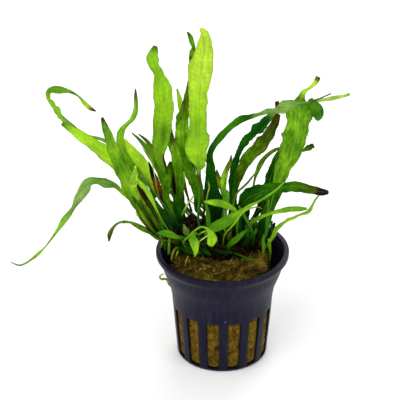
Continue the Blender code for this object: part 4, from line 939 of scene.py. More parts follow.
def dark_root_and_shade_material():
    """Old dark roots, matted, with a few rusty bits, near black as painted shade under the fronds."""
    made = Shade("root_mat_and_shade")
    patch = made.noise(210.0, 5.0, 0.65)
    # Painted shade: mostly near black, with the rusty bits of real roots
    shade = made.ramp(patch, (0.35, srgb(7, 6, 4)), (0.58, srgb(17, 13, 8)),
                      (0.68, srgb(48, 27, 10)), (0.8, srgb(96, 56, 22)))
    made.set(base_color=shade, roughness=0.95, specular_ior_level=0.04,
             normal=made.bump(made.noise(900.0, 8.0, 0.7), 0.0006, 0.9))
    return made.material


def leaf_material(slot, settings, shine):
    """A frond: its own tone, a line along the middle, veins, a network of cells and blemishes."""
    made = Shade(slot)
    tone = made.add("ShaderNodeAttribute", attribute_name="tone").outputs["Color"]
    off, along, broad = made.three("line")
    ribbing, mottle, seed = made.three("marks")
    away = made.maths("ABSOLUTE", off)
    rib = made.maths("MULTIPLY", made.fall(away, 0.01, 0.034),
                     made.maths("MULTIPLY_ADD", broad, 0.6, 0.4))
    vein = made.maths("SINE", made.maths("MULTIPLY_ADD", along, 26.0,
                                         made.maths("MULTIPLY", away, -14.0)))
    vein = made.rise(made.maths("MULTIPLY_ADD", vein, 0.5, 0.5), 0.82, 1.0)
    cells = made.add("ShaderNodeTexVoronoi", feature="DISTANCE_TO_EDGE", inputs={
        "Vector": made.places(), "Scale": 900.0}).outputs["Distance"]
    net = made.fall(cells, 0.02, 0.16)
    cloud = made.noise(150.0, 5.0, 0.6)
    fine = made.noise(1100.0, 6.0, 0.65)
    lengthwise = made.add("ShaderNodeCombineXYZ", inputs={
        "X": made.maths("MULTIPLY", off, 12.0), "Y": made.maths("MULTIPLY", along, 2.2),
        "Z": seed}).outputs["Vector"]
    streak = made.noise(1.0, 5.0, 0.62, lengthwise)
    blotch = made.rise(made.noise(270.0, 4.0, 0.6), 0.5, 0.6)
    spot = made.rise(made.noise(480.0, 5.0, 0.7), 0.57, 0.68)
    uneven = made.maths("MINIMUM", made.maths("MULTIPLY_ADD", mottle, 1.1, 0.3), 0.85)
    dark = made.maths("MULTIPLY", made.fall(cloud, 0.38, 0.53), uneven)
    shade = tone
    for amount, strength, change in (
            (made.rise(streak, 0.49, 0.62), uneven, (1.5, 1.32, 1.3)),
            (made.fall(streak, 0.36, 0.5), uneven, (0.42, 0.62, 0.4)),
            (dark, 0.7, (0.42, 0.6, 0.35)),
            (net, 0.16, (0.3, 0.5, 0.3)),
            (vein, 0.18, (0.4, 0.6, 0.3)),
            (made.maths("MULTIPLY", blotch, mottle), 0.8, (0.36, 0.55, 0.3)),
            (rib, made.maths("MULTIPLY", ribbing, -1.0), (0.3, 0.36, 0.2))):
        shade = made.tint(shade, amount, strength, change, "MULTIPLY")
    shade = made.tint(shade, rib, ribbing, srgb(152, 190, 62))
    shade = made.tint(shade, spot, mottle, srgb(58, 36, 8))
    rough = made.maths("MULTIPLY_ADD", fine, 0.2, settings.roughness - 0.1)
    normal = made.bump(net, 0.00004, 0.4, made.bump(vein, 0.00012, 0.5))
    normal = made.bump(fine, 0.00006, 0.5, normal)
    made.set(base_color=shade, roughness=rough, specular_ior_level=shine, normal=normal)
    made.set(subsurface_weight=0.12, subsurface_radius=(0.9, 1.0, 0.2), subsurface_scale=0.001)
    return made.material


# Each leaf slot's shine, and how strongly its fronds are mottled unless MARKS says otherwise
LEAF_FINISH = {
    "leaf_fresh": (0.08, 0.1), "leaf_mid": (0.06, 0.2), "leaf_deep": (0.015, 0.3),
    "leaf_pale": (0.05, 0.1), "leaf_matt": (0.05, 0.25), "leaf_mottled": (0.02, 0.75),
    "leaf_dying": (0.02, 0.8),
}
_leaf_materials = {}


def leaf_material_of(slot):
    """The slot's leaf material, made once."""
    if slot not in _leaf_materials:
        settings = bpy.context.scene.fern_leaves
        _leaf_materials[slot] = leaf_material(slot, settings, LEAF_FINISH[slot][0])
    return _leaf_materials[slot]


def eased(stops, values, wanted):
    """Values at the wanted places, along a smooth curve through the stops."""
    steps = np.diff(stops)[:, None]
    slopes = np.diff(values, axis=0) / steps
    inner = (slopes[:-1] * steps[1:] + slopes[1:] * steps[:-1]) / (steps[:-1] + steps[1:])
    tangents = np.vstack([slopes[:1], inner, slopes[-1:]])
    piece = np.clip(np.searchsorted(stops, wanted) - 1, 0, len(steps) - 1)
    step = steps[piece]
    x = np.clip((wanted - stops[piece])[:, None] / step, 0.0, 1.0)
    return ((2 * x**3 - 3 * x**2 + 1) * values[piece] + (x**3 - 2 * x**2 + x) * step * tangents[piece]
            + (3 * x**2 - 2 * x**3) * values[piece + 1] + (x**3 - x**2) * step * tangents[piece + 1])


def spread_from(start):
    """Layers of points, each one edge further from the start than the last."""
    seen, layers = set(start), [list(start)]
    while layers[-1]:
        ahead = {e.other_vert(v) for v in layers[-1] for e in v.link_edges} - seen
        seen |= ahead
        layers.append(list(ahead))
    return layers[:-1]


def layers_of(shape):
    """A frond's cross sections of four points each, from one end of its mesh to the other."""
    best = []
    for edge in shape.edges:
        start = {v for face in edge.link_faces for v in face.verts}
        if len(edge.link_faces) == 2 and len(start) == 4:
            layers = spread_from(start)
            if all(len(layer) == 4 for layer in layers) and len(layers) > len(best):
                best = layers
    return best


def rings_of(layers, middles):
    """The places of every layer's four points, sorted so that each corner runs on to the next."""
    centre = len(layers) // 2
    first = layers[centre][0]
    apart = [v for v in layers[centre][1:]
             if not any(e.other_vert(first) == v for e in v.link_edges)]
    others = [v for v in layers[centre] if v not in (first, apart[0])]
    ordered = {centre: [first, others[0], apart[0], others[1]]}
    for step, last in ((-1, -1), (1, len(layers))):
        for i in range(centre + step, last, step):
            before = [v.co - middles[i - step] for v in ordered[i - step]]
            ordered[i] = list(min(itertools.permutations(layers[i]), key=lambda order: sum(
                (v.co - middles[i] - co).length for v, co in zip(order, before))))
    return np.array([[list(v.co) for v in ordered[i]] for i in range(len(layers))])


def sections_of(node):
    """A frond's sections from foot to tip, read from its CAD node.

    Each row holds the middle, half of the way across, how far the margins are folded forward,
    and half of the way from back to front.
    """
    shape = bmesh.new()
    shape.from_mesh(frame["nodes"][node].data)
    bmesh.ops.remove_doubles(shape, verts=shape.verts, dist=MERGE)
    layers = layers_of(shape)
    if len(layers) < 3:
        raise RuntimeError(f"no sections were found in {node}")
    middles = [sum((v.co for v in layer), Vector()) / 4 for layer in layers]
    if (middles[0] - PLANT_HEART).length > (middles[-1] - PLANT_HEART).length:
        layers, middles = layers[::-1], middles[::-1]
    rings = rings_of(layers, middles)
    shape.free()
    spans = [np.linalg.norm(rings[:, i] - rings[:, i + 2], axis=1).sum() for i in (0, 1)]
    edges, faces = ((0, 2), (1, 3)) if spans[0] > spans[1] else ((1, 3), (0, 2))
    middle = (rings[:, faces[0]] + rings[:, faces[1]]) / 2
    across = (rings[:, edges[1]] - rings[:, edges[0]]) / 2
    fold = (rings[:, edges[0]] + rings[:, edges[1]]) / 2 - middle
    front = (rings[:, faces[1]] - rings[:, faces[0]]) / 2
    if (front * (np.array(EYE) - middle)).sum() < 0:
        front = -front
    if np.cross(across, front)[:, 2].sum() > 0:
        across = -across
    return middle, across, fold, front


def seen_at(across, up, back):
    """A point given as the camera sees it: across and up from the pot's foot, and how far back."""
    sine, cosine = math.sin(EYE_TILT), math.cos(EYE_TILT)
    reach, high = EYE_DISTANCE / MM, EYE_TARGET.z / MM
    foot = reach + high * sine
    screen_x = across - EYE_TARGET.x / MM * reach / foot
    screen_y = up - high * cosine * reach / foot
    rise = (screen_y * (1 + back * cosine / reach) - back * sine) / (
        cosine + screen_y * sine / reach)
    depth = reach + back * cosine - rise * sine
    return np.array([EYE_TARGET.x / MM + screen_x * depth / reach, back, high + rise]) * MM


def sections_on(route):
    """Sections like those of a node, along a route given as the camera sees it."""
    middle = np.array([seen_at(*stop[:3]) for stop in route])
    stops = np.insert(np.cumsum(np.linalg.norm(np.diff(middle, axis=0), axis=1)), 0, 0)
    wanted = np.linspace(0, stops[-1], 4 * len(route))
    widths = eased(stops, np.array([[stop[3] * MM] for stop in route]), wanted)
    middle = eased(stops, middle, wanted)
    way = np.gradient(middle, axis=0)
    way /= np.linalg.norm(way, axis=1)[:, None]
    side = np.cross(way, np.array(EYE) - middle)
    side /= np.linalg.norm(side, axis=1)[:, None]
    front = np.cross(side, way)
    depth = np.clip(YOUNG_DEPTH * widths, YOUNG_DEPTHS[0] * MM, YOUNG_DEPTHS[1] * MM)
    return middle, side * widths / 2, front * widths * YOUNG_FOLD, front * depth / 2


def waves(rng, places, period, count=3):
    """A wavering line between -1 and 1, drawn from the generator."""
    total = np.zeros_like(places)
    for _ in range(count):
        total += np.sin(places * 2 * math.pi / (period * rng.uniform(*WAVE_SPREAD))
                        + rng.uniform(0, 2 * math.pi))
    return total / count


def tones_along(look, shares):
    """The tone at each share of a frond's length, in linear colour."""
    stops = [stop.split() for stop in look.split(",")]
    places = [float(place) for _, place in stops]
    colours = np.array([srgb(*TONES[tone]) for tone, _ in stops])
    return np.stack([np.interp(shares, places, colours[:, i]) for i in range(3)], axis=1)


def values_along(pairs, shares):
    """The value at each share of a frond's length, from "value place" pairs."""
    stops = [[float(part) for part in stop.split()] for stop in pairs.split(",")]
    return np.interp(shares, [place for _, place in stops], [value for value, _ in stops])


class Blade:
    """A frond laid on a grid, and what is known at each of its points."""

    def __init__(self, name, sections, node, station, columns):
        """Lay the grid along the sections, with the foot drawn out to reach the rhizome."""
        middle, *others = sections
        back_step = middle[0] - middle[1]
        back_step *= FOOT_REACH / np.linalg.norm(back_step)
        middle = np.vstack([middle[:1] + back_step, middle])
        parts = [middle] + [np.vstack([part[:1], part]) for part in others]
        stops = np.insert(np.cumsum(np.linalg.norm(np.diff(middle, axis=0), axis=1)), 0, 0.0)
        self.node = node
        self.rng = random.Random(name)
        self.length = stops[-1]
        rows = int(np.clip(self.length / station, *ROW_LIMITS))
        self.item, flat = new_grid(name, columns, rows)
        # Across from -1 to 1, and along as a share of the length and in metres
        self.across = flat[:, 0]
        self.outward = np.abs(self.across)
        self.share = (flat[:, 1] + 1) / 2
        self.along = self.share * self.length
        self.middle, span, self.fold, front = [eased(stops, part, self.along) for part in parts]
        self.half = np.linalg.norm(span, axis=1)
        self.side = span / self.half[:, None]
        self.slim = values_along(SLIM.get(node, FULL_WIDTH), self.share)
        self.half *= self.slim
        self.body = np.linalg.norm(front, axis=1)
        self.face = front / self.body[:, None]
        self.offset = self.across * self.half
        self.broad = np.clip((self.half - STEM_HALF * MM) / (BLADE_MORE * MM), 0.0, 1.0)

    def margins(self, ragged, calm):
        """How far each point lies aside, with the waves, notches and lobes of both margins."""
        left, right = (waves(self.rng, self.along, WAVE_STEP * MM) for _ in range(2))
        uneven = calm * (WAVER + WAVER * self.broad) * ragged
        edges = []
        for wave, lobes in zip((left, right), EDGES.get(self.node, (STRAIGHT, STRAIGHT))):
            notches = waves(self.rng, self.along, NOTCH_STEP * MM)
            wave = wave + (NOTCH_LEAST + NOTCH_RAGGED * ragged) * notches
            edges.append(self.half * (1 + wave * uneven) + values_along(lobes, self.share) * MM)
        least = LEAST_HALF * MM
        shift = np.maximum(least - edges[0], 0) - np.maximum(least - edges[1], 0)
        return np.where(self.across < 0, edges[0] + shift, edges[1] - shift) * self.across + shift

    def spread(self, ragged):
        """Place the points, with ruffled margins, cushions between the veins and a slow sway."""
        calm = np.clip(np.minimum(self.along, self.length - self.along) / (CALM_END * MM), 0.0, 1.0)
        sideways = self.margins(ragged, calm)
        left, right = (waves(self.rng, self.along, RUFFLE_STEP * MM) for _ in range(2))
        ruffle = np.where(self.across < 0, left, right) * self.outward ** 2.2 * RUFFLE_RISE * MM
        cushion = np.sin(self.along * 2 * math.pi / (CUSHION_STEP * MM) - self.outward * 2.0)
        cushion *= (1 - (2 * self.outward - 1) ** 2) * CUSHION_RISE * MM
        sway = waves(self.rng, self.along, SWAY_STEP * MM) * SWAY_RISE * MM * self.broad
        rise = (ruffle * (0.6 + 0.4 * ragged) + cushion) * self.broad * calm + sway * calm
        curl = self.half * CURL * self.broad * (self.outward ** 2)
        folded = np.minimum(self.slim, 1.0) * self.outward ** 1.4
        place_points(self.item, (
            self.middle + self.side * sideways[:, None] + self.fold * folded[:, None]
            + self.face * (rise + curl - self.half * SET_BACK * self.broad)[:, None]))

    def thicken(self, lamina):
        """Give the blade its thickness: round at the stem, then a midrib and a thin sheet."""
        rib = self.body * 2 * np.exp(-(self.offset / (RIB_HALF * MM)) ** 2)
        stem = self.body * 2 * np.sqrt(np.clip(1 - 0.92 * self.across**2, 0.05, 1.0))
        tip = np.clip((self.length - self.along) / (TIP_LENGTH * MM), 0.5, 1)
        sheet = lamina * (1 - 0.6 * self.outward ** 4) * tip
        wall = np.maximum(rib, sheet) * self.broad + stem * (1 - self.broad)
        thickest = float(wall.max())
        group = self.item.vertex_groups.new(name="wall")
        for i, value in enumerate(wall / thickest):
            group.add([i], float(value), "REPLACE")
        apply_modifier(self.item, "SOLIDIFY", thickness=thickest, offset=0.0, vertex_group="wall",
                       use_rim=True, use_even_offset=False)
        self.item.vertex_groups.clear()

    def paint(self, look, ribbing, mottle):
        """Store each point's tone, its place on the blade in centimetres and the frond's marks."""
        patch = (waves(self.rng, self.along, PATCH_STEPS[0] * MM) * 0.5
                 + waves(self.rng, self.offset + self.along * 0.3, PATCH_STEPS[1] * MM) * 0.5)
        tone = tones_along(look, self.share) * (1 + PATCH_TONE * patch[:, None])
        for place, side_at, long, wide, blotch, strength in BLOTCHES_AND_SHADOW.get(self.node, ()):
            near = strength * np.exp(-((self.along - place * self.length) / (long * MM)) ** 2
                                     - ((self.offset - side_at * self.half) / (wide * MM)) ** 2)
            tone += near[:, None] * (np.array(srgb(*TONES[blotch])) - tone)
        # Painted shade: the margins are darker
        tone *= (1 - MARGIN_SHADE * self.outward ** 8)[:, None]
        self.store("tone", "FLOAT_COLOR", "color",
                   np.hstack([np.clip(tone, 0, 1), np.ones((len(tone), 1))]))
        self.store("line", "FLOAT_VECTOR", "vector",
                   np.stack([self.offset / CM, self.along / CM, self.broad], axis=1))
        self.store("marks", "FLOAT_VECTOR", "vector",
                   np.tile([ribbing, mottle, self.rng.uniform(0, 50)], len(tone)))

    def store(self, name, kind, field, values):
        """Keep values at the points, for the material to read."""
        layer = self.item.data.attributes.new(name, kind, "POINT")
        layer.data.foreach_set(field, values.astype(np.float32).ravel())


def grow_blade(name, sections, look, settings, marks, node="", columns=12):
    """One closed frond: a grid laid along the sections, thickened from petiole to margin."""
    ribbing, mottle, ragged = marks
    blade = Blade(name, sections, node, settings.station, columns)
    blade.spread(ragged)
    blade.paint(look, ribbing, mottle)
    blade.thicken(settings.lamina)
    finish_mesh(blade.item, 60.0, MERGE)
    return blade.item


def slot_width(height):
    """A side slot's width at a height, both in millimetres."""
    return SLOT_WIDTH - np.interp(height, *np.array(SLOT_ROUNDING).T)


def turn_from_slot(azimuth, first=SLOT_FIRST, count=SLOT_COUNT):
    """How far an azimuth is turned from the middle of the nearest slot."""
    pitch = 2 * math.pi / count
    turn = (azimuth - first) % pitch
    return min(turn, pitch - turn)


class FERN_OT_pot(bpy.types.Operator):
    """Mould the slotted net pot."""

    bl_idname = "fern.pot"
    bl_label = "Net pot"

    def execute(self, context):
        settings = context.scene.fern_pot
        item, flat = new_grid("net_pot_shell", SLOT_COUNT * SLOT_COLUMNS, len(POT_LINE) - 1)
        place_points(item, self.shell(flat))
        self.cut_slots(item)
        finish_mesh(item, 40.0, MERGE)
        apply_modifier(item, "SOLIDIFY", thickness=POT_WALL * MM, offset=-1.0, use_rim=True,
                       use_even_offset=True)
        apply_modifier(item, "BEVEL", width=settings.bevel, segments=2, limit_method="ANGLE",
                       angle_limit=math.radians(50))
        finish_mesh(item, 35.0)
        colour = tuple(settings.colour)
        settle(item, "pot_plastic", plastic_material("pot_plastic", colour, settings), "net_pot")
        settle(self.gate_mark(), "pot_plastic", plastic_material(
            "worn_plastic", srgb(112, 108, 124), settings))
        return {"FINISHED"}

    def shell(self, flat):
        """The grid's points bent round the pot, with their columns drawn to the slots' edges."""
        line = np.array(POT_LINE)
        row = np.rint((flat[:, 1] + 1) / 2 * (len(line) - 1)).astype(int)
        column = np.rint((flat[:, 0] + 1) / 2 * (SLOT_COUNT * SLOT_COLUMNS)).astype(int)
        radius, height = line[row].T
        pitch = 2 * math.pi / SLOT_COUNT
        slot, part = column // SLOT_COLUMNS, column % SLOT_COLUMNS
        part = part - SLOT_COLUMNS // 4
        in_base = radius < BASE_RADIUS
        reach = np.where(in_base, BASE_TURN, np.arcsin(
            slot_width(height) / 2 / np.maximum(radius, SLOT_TURN_RADIUS)))
        base_middle = (BASE_SLOT_FIRST - SLOT_FIRST) % pitch
        base_half = np.arcsin(np.clip(
            BASE_SLOT_WIDTH / 2 / np.maximum(radius, BASE_SLOT_REACH[0]), 0, 1))
        early = np.where(in_base, base_middle - base_half, reach + (pitch - 2 * reach) / 4)
        middle = np.where(in_base, base_middle, pitch / 2)
        late = np.where(in_base, base_middle + base_half, pitch - reach - (pitch - 2 * reach) / 4)
        turn = np.select([np.abs(part) <= 2, part == 3, part == 4, part == 5],
                         [part / 2 * reach, early, middle, late])
        angle = SLOT_FIRST + slot * pitch + turn
        points = np.stack([radius * np.cos(angle), radius * np.sin(angle), height], axis=1) * MM
        wobble = np.array([noise.noise(Vector(p) * 55.0) for p in points])
        collar = np.clip((height - COLLAR_FROM) / COLLAR_RISE, 0, 1)
        points[:, :2] *= (1 + COLLAR_WOBBLE * wobble * collar)[:, None]
        return points

    def gate_mark(self):
        """The nib that the mould's gate leaves on the wall."""
        azimuth, height, radius = GATE_MARK
        line = np.array(POT_LINE)
        wall = float(np.interp(height, line[POT_SIDE, 1], line[POT_SIDE, 0]))
        start_fresh()
        bpy.ops.mesh.primitive_uv_sphere_add(segments=16, ring_count=10, radius=radius * MM)
        item = bpy.context.object
        item.name = item.data.name = "gate_mark"
        place = Vector((wall * math.cos(azimuth), wall * math.sin(azimuth), height)) * MM
        for vertex in item.data.vertices:
            x, y, z = vertex.co
            vertex.co = place + Vector((x, y * 0.6, z))
        finish_mesh(item, 60.0)
        return item

    def cut_slots(self, item):
        """Delete the faces that lie in the side slots and in the base's slots."""
        shape = bmesh.new()
        shape.from_mesh(item.data)
        gone = []
        for face in shape.faces:
            middle = face.calc_center_median() / MM
            azimuth = math.atan2(middle.y, middle.x)
            radius = math.hypot(middle.x, middle.y)
            if SLOT_HEIGHTS[0] < middle.z < SLOT_HEIGHTS[1] and radius > SLOT_CUT_RADIUS:
                if turn_from_slot(azimuth) * radius < slot_width(middle.z) / 2:
                    gone.append(face)
            elif middle.z < BASE_HEIGHT and BASE_SLOT_REACH[0] < radius < BASE_SLOT_REACH[1]:
                turn = turn_from_slot(azimuth, BASE_SLOT_FIRST, BASE_SLOT_COUNT)
                if turn * radius < BASE_SLOT_WIDTH / 2:
                    gone.append(face)
        bmesh.ops.delete(shape, geom=gone, context="FACES")
        shape.to_mesh(item.data)
        shape.free()


def wool_surface(angle, share):
    """A point of the wool plug's skin, from the middle of its top, 0, to that of its base, 1."""
    line = np.array(WOOL_LINE)
    steps = np.insert(np.cumsum(np.linalg.norm(np.diff(line, axis=0), axis=1)), 0, 0)
    radius = np.interp(share, steps / steps[-1], line[:, 0])
    height = np.interp(share, steps / steps[-1], line[:, 1])
    # Above 34 mm the left side leans out, and 15 mm from the middle it starts to sag
    lean = max(0.0, -math.cos(angle - 0.5)) ** 1.5 * held((height - 34) / 5)
    radius *= 1 + WOOL_BULGE * lean
    height -= WOOL_SAG * lean * max(0.0, radius - 15.0) / 5
    point = Vector((radius * math.cos(angle), radius * math.sin(angle), height)) * MM
    # The open top is lumpy, fully so 42 mm up, and has its tufts
    top = held((height - 36) / 6)
    rise = lumps(point, 130.0) * 0.9 * 0.8 * MM
    for x, y, broad, high in WOOL_TUFTS:
        away = (point.x - x * MM) ** 2 + (point.y - y * MM) ** 2
        rise += math.exp(-away / (broad * MM) ** 2) * high * MM
    point.z += top * rise
    rough = lumps(point, 420.0, 3) * 0.22 * MM
    # Behind a slot the wool swells outwards, less so to its sides and near its ends
    aside = turn_from_slot(angle) * radius / (SLOT_WIDTH / 2)
    low, high = (held(gap / 1.5) for gap in (height - SLOT_HEIGHTS[0], SLOT_HEIGHTS[1] - height))
    swell = max(0.0, 1 - aside**2) ** 0.7 * low * high * SLOT_SWELL * MM
    outward = Vector((point.x, point.y, 0)).normalized()
    return point + outward * (swell + rough * (0.4 + 0.6 * top)) + Vector((0, 0, rough * top))


def top_strand(rng, angle, share):
    """A loose fibre on the plug's open top: its foot, way, length, radius and bend."""
    foot = wool_surface(angle, share)
    outward = Vector((math.cos(angle), math.sin(angle), 0))
    way = outward * rng.uniform(0.0, 0.5) + Vector((
        rng.gauss(0, 0.25), rng.gauss(0, 0.25), rng.uniform(0.5, 1.0)))
    bend = Vector((rng.gauss(0, 0.7), rng.gauss(0, 0.7), rng.gauss(-0.3, 0.4))) * MM
    foot -= way.normalized() * 0.5 * MM
    return foot, way, rng.uniform(1.2, 2.6) * MM, rng.uniform(0.1, 0.24) * MM, bend


def slot_strand(rng, spread, shares, deep, slant, lengths, radii):
    """A strand that lies in a side slot: its foot, way, length, radius and bend."""
    angle = SLOT_FIRST + rng.randrange(SLOT_COUNT) * 2 * math.pi / SLOT_COUNT + rng.uniform(
        -spread, spread)
    foot = wool_surface(angle, rng.uniform(*shares))
    outward = Vector((math.cos(angle), math.sin(angle), 0))
    way = Vector((-outward.y, outward.x, 0)) * rng.uniform(-slant, slant)
    way += Vector((0, 0, rng.choice((-1, 1))))
    foot -= outward * deep * MM
    return (foot, way, rng.uniform(*lengths) * MM, rng.uniform(*radii) * MM,
            outward * STRAND_BEND * MM)


def strand_template():
    """A thin closed spike of four rings, modelled once and copied."""
    start_fresh()
    bpy.ops.mesh.primitive_cone_add(vertices=3, radius1=1.0, radius2=0.25, depth=1.0,
                                    location=(0, 0, 0.5))
    item = bpy.context.object
    bpy.ops.object.mode_set(mode="EDIT")
    for height in (0.75, 0.5, 0.25):
        bpy.ops.mesh.select_all(action="SELECT")
        bpy.ops.mesh.bisect(plane_co=(0, 0, height), plane_no=(0, 0, 1))
    bpy.ops.object.mode_set(mode="OBJECT")
    matrix = item.matrix_world
    points = np.array([list(matrix @ v.co) for v in item.data.vertices])
    faces = [list(p.vertices) for p in item.data.polygons]
    bpy.data.objects.remove(item)
    return points, faces


def strand_mesh(name, strands):
    """All strands in one mesh. A strand is its foot, way, length, radius, bend and tone."""
    points, faces = strand_template()
    every, corners, tones = [], [], []
    for foot, way, length, radius, bend, tone in strands:
        tones += [tone] * len(points)
        way = Vector(way).normalized()
        side = way.orthogonal().normalized()
        other = way.cross(side)
        base = len(every)
        for x, y, z in points:
            sweep = Vector(bend) * (z * z)
            every.append(Vector(foot) + way * (z * length) + sweep + (side * x + other * y) * radius)
        corners += [[base + i for i in face] for face in faces]
    mesh = bpy.data.meshes.new(name)
    mesh.from_pydata(every, [], corners)
    mesh.attributes.new("tone", "FLOAT", "POINT").data.foreach_set("value", tones)
    item = bpy.data.objects.new(name, mesh)
    bpy.context.scene.collection.objects.link(item)
    finish_mesh(item, 80.0)
    return item


class FERN_OT_wool(bpy.types.Operator):
    """Form the damp wool plug and its loose fibres."""

    bl_idname = "fern.wool"
    bl_label = "Wool plug"

    def execute(self, context):
        settings = context.scene.fern_wool
        material = wool_material(settings)
        start_fresh()
        bpy.ops.mesh.primitive_uv_sphere_add(segments=12 * SLOT_COUNT, ring_count=116, radius=1.0)
        item = bpy.context.object
        item.name = item.data.name = "wool_block"
        points = []
        for vertex in item.data.vertices:
            x, y, z = vertex.co
            share = math.acos(max(-1.0, min(1.0, z))) / math.pi
            points.append(wool_surface(math.atan2(y, x), share))
        place_points(item, points)
        finish_mesh(item, 70.0)
        settle(item, "mineral_wool", material, "wool_plug")

        rng = random.Random(WOOL_SEED)
        strands = []
        for _ in range(settings.fibres):
            angle = rng.uniform(0, 2 * math.pi)
            top = rng.random() < TOP_FIBRES
            share = rng.uniform(*TOP_SHARES)
            strand = top_strand(rng, angle, share) if top else slot_strand(rng, *SLOT_FIBRES)
            tone = 0.42 + 0.9 * noise.noise(strand[0] * 330.0) + rng.gauss(0, 0.14)
            strands.append((*strand, held(tone)))
        fibres = strand_mesh("wool_fibres", strands)
        settle(fibres, "mineral_wool", fibre_material(
            "wool_fibre", (0.1, srgb(20, 14, 4)), (0.4, srgb(66, 54, 12)),
            (0.75, srgb(118, 96, 26)), (1.1 / 1.3, srgb(172, 146, 62))))
        return {"FINISHED"}


class FERN_OT_rhizomes(bpy.types.Operator):
    """Grow the creeping stems and the dark roots round them."""

    bl_idname = "fern.rhizomes"
    bl_label = "Rhizomes and roots"

    def execute(self, context):
        settings = context.scene.fern_roots
        material = bark_material(settings)
        names = sorted(n for n in frame["nodes"] if n.startswith("rhizome_"))
        spines = []
        for name in names:
            item = self.creep(name)
            settle(item, "rhizome_bark", material, name)
            spines += [v.co.copy() for v in item.data.vertices]
        settle(self.root_mat_and_shade(), "rhizome_bark", dark_root_and_shade_material())
        rng = random.Random(ROOT_SEED)
        strands = []
        for _ in range(settings.hairs):
            foot = rng.choice(spines)
            way = Vector((rng.gauss(0, 1), rng.gauss(-0.25, 1), rng.gauss(-0.5, 0.7)))
            bend = Vector((rng.gauss(0, 1.4), rng.gauss(0, 1.4), rng.gauss(-1.4, 0.9))) * MM
            strands.append((foot, way, rng.uniform(1.2, 4.2) * MM, rng.uniform(0.05, 0.11) * MM,
                            bend, rng.random()))
        for _ in range(SLOT_ROOT_COUNT):
            strands.append((*slot_strand(rng, *SLOT_ROOTS), rng.uniform(0.0, 0.4)))
        hairs = strand_mesh("root_hairs", strands)
        settle(hairs, "rhizome_bark", fibre_material(
            "root_hair", (0.1, srgb(6, 5, 3)), (0.6, srgb(20, 14, 8)), (0.85, srgb(64, 38, 14)),
            (1.0, srgb(120, 78, 34))))
        return {"FINISHED"}

    def creep(self, node):
        """A rough scaly stem on the CAD node's own shape."""
        start_fresh()
        shape = bmesh.new()
        shape.from_mesh(frame["nodes"][node].data)
        bmesh.ops.remove_doubles(shape, verts=shape.verts, dist=MERGE)
        mesh = bpy.data.meshes.new(node + "_bark")
        shape.to_mesh(mesh)
        shape.free()
        item = bpy.data.objects.new(node + "_bark", mesh)
        bpy.context.scene.collection.objects.link(item)
        apply_modifier(item, "REMESH", mode="VOXEL", voxel_size=0.42 * MM)
        for vertex in item.data.vertices:
            place = vertex.co.copy()
            vertex.co = place + vertex.normal * (lumps(place, 330.0) * 0.45 * MM)
        finish_mesh(item, 80.0)
        return item

    def root_mat_and_shade(self):
        """The low dark mat of old roots that the fronds stand in, near black as painted shade under them.
        """
        start_fresh()
        bpy.ops.mesh.primitive_uv_sphere_add(segments=96, ring_count=48, radius=1.0)
        item = bpy.context.object
        item.name = item.data.name = "root_mat_and_shade"
        for vertex in item.data.vertices:
            x, y, z = vertex.co
            place = Vector([part * half + middle for part, half, middle in zip(
                vertex.co, ROOT_MAT_HALF, ROOT_MAT_MIDDLE)]) * MM
            away = Vector((x, y, max(z, 0.0) + 0.2)).normalized()
            vertex.co = place + away * lumps(place, 190.0, 5) * 2.0 * MM
        finish_mesh(item, 80.0)
        return item


class FERN_OT_fronds(bpy.types.Operator):
    """Grow every frond and small growth on its own node."""

    bl_idname = "fern.fronds"
    bl_label = "Fronds"

    def execute(self, context):
        settings = context.scene.fern_leaves
        for node in sorted(LOOKS):
            if node not in frame["nodes"]:
                raise RuntimeError(f"the frame has no node named {node}")
            slot = SLOT_OF[node]
            name = node.replace("frond_", "blade_") if node.startswith("frond_") else node + "_skin"
            marks = MARKS.get(node, (FROND_LINE, LEAF_FINISH[slot][1], FROND_RAGGED))
            item = grow_blade(name, sections_of(node), LOOKS[node], settings, marks, node)
            settle(item, slot, leaf_material_of(slot), node)
        return {"FINISHED"}


class FERN_OT_young(bpy.types.Operator):
    """Grow the young fronds and loose stems between the large ones."""

    bl_idname = "fern.young"
    bl_label = "Young fronds and stems"

    def execute(self, context):
        settings = context.scene.fern_leaves
        for name, (slot, look, route) in YOUNG.items():
            item = grow_blade("young_" + name, sections_on(route), look, settings,
                              (YOUNG_LINE, LEAF_FINISH[slot][1], YOUNG_RAGGED), columns=10)
            settle(item, slot, leaf_material_of(slot))
        return {"FINISHED"}


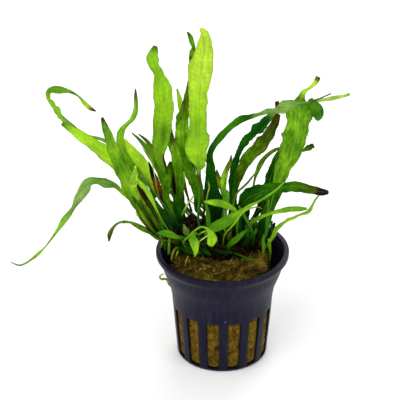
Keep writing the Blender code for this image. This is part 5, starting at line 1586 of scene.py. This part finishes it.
class FERN_OT_stage(bpy.types.Operator):
    """Lay the floor, hang the lights and aim the camera."""

    bl_idname = "fern.stage"
    bl_label = "Stage"

    def execute(self, context):
        settings = context.scene.fern_stage
        start_fresh()
        bpy.ops.mesh.primitive_plane_add(size=6.0)
        floor = context.object
        floor.name = floor.data.name = "floor"
        made = Shade("floor_paper")
        colour = tuple(settings.floor)
        grain = made.noise(240.0, 4.0)
        made.set(base_color=made.mix(grain, [c * 0.985 for c in colour], colour), roughness=0.8)
        floor.data.materials.append(made.material)

        world = bpy.data.worlds.new("studio")
        world.use_nodes = True
        sky = world.node_tree.nodes["Background"]
        sky.inputs["Color"].default_value = (1.0, 1.0, 1.0, 1.0)
        sky.inputs["Strength"].default_value = settings.sky
        context.scene.world = world
        context.scene.view_settings.view_transform = "Standard"
        for name, (place, size, share) in LIGHTS.items():
            self.soft_light(name, place, size, settings.key * share)

        camera = bpy.data.cameras.new("camera")
        camera.sensor_width = 36.0
        camera.lens = EYE_LENS
        camera.clip_start = 0.01
        camera.clip_end = 20.0
        rig = bpy.data.objects.new("camera", camera)
        rig.location = EYE
        rig.rotation_euler = Euler((math.pi / 2 - EYE_TILT, 0.0, 0.0))
        context.scene.collection.objects.link(rig)
        context.scene.camera = rig
        return {"FINISHED"}

    def soft_light(self, name, place, size, power):
        """A square soft light that points at the plant."""
        light = bpy.data.lights.new(name, "AREA")
        light.size = size
        light.energy = power
        lamp = bpy.data.objects.new(name, light)
        lamp.location = place
        lamp.rotation_euler = (Vector(place) - EYE_TARGET).to_track_quat("Z", "Y").to_euler()
        bpy.context.scene.collection.objects.link(lamp)


OPERATORS = (FERN_OT_pot, FERN_OT_wool, FERN_OT_rhizomes, FERN_OT_fronds, FERN_OT_young,
             FERN_OT_stage)
GROUPS = {
    "fern_pot": FernPot, "fern_wool": FernWool, "fern_leaves": FernLeaves,
    "fern_roots": FernRoots, "fern_stage": FernStage,
}


class FERN_PT_panel(bpy.types.Panel):
    """Lists the pieces' settings and operators."""

    bl_idname = "FERN_PT_panel"
    bl_label = "Java fern"
    bl_space_type = "VIEW_3D"
    bl_region_type = "UI"
    bl_category = "Java fern"

    def draw(self, context):
        for name, group in GROUPS.items():
            box = self.layout.box()
            for prop in group.__annotations__:
                box.prop(getattr(context.scene, name), prop)
        for operator in OPERATORS:
            self.layout.operator(operator.bl_idname)


CLASSES = (*GROUPS.values(), *OPERATORS, FERN_PT_panel)


def register():
    """Register the classes and hang the settings on the scene."""
    for made in CLASSES:
        bpy.utils.register_class(made)
    for name, group in GROUPS.items():
        setattr(bpy.types.Scene, name, PointerProperty(type=group))


def unregister():
    """Undo what register does."""
    for name in GROUPS:
        delattr(bpy.types.Scene, name)
    for made in reversed(CLASSES):
        bpy.utils.unregister_class(made)


def main():
    register()
    bpy.ops.fern.pot()
    bpy.ops.fern.wool()
    bpy.ops.fern.rhizomes()
    bpy.ops.fern.fronds()
    bpy.ops.fern.young()
    bpy.ops.fern.stage()


if __name__ == "__main__":
    main()
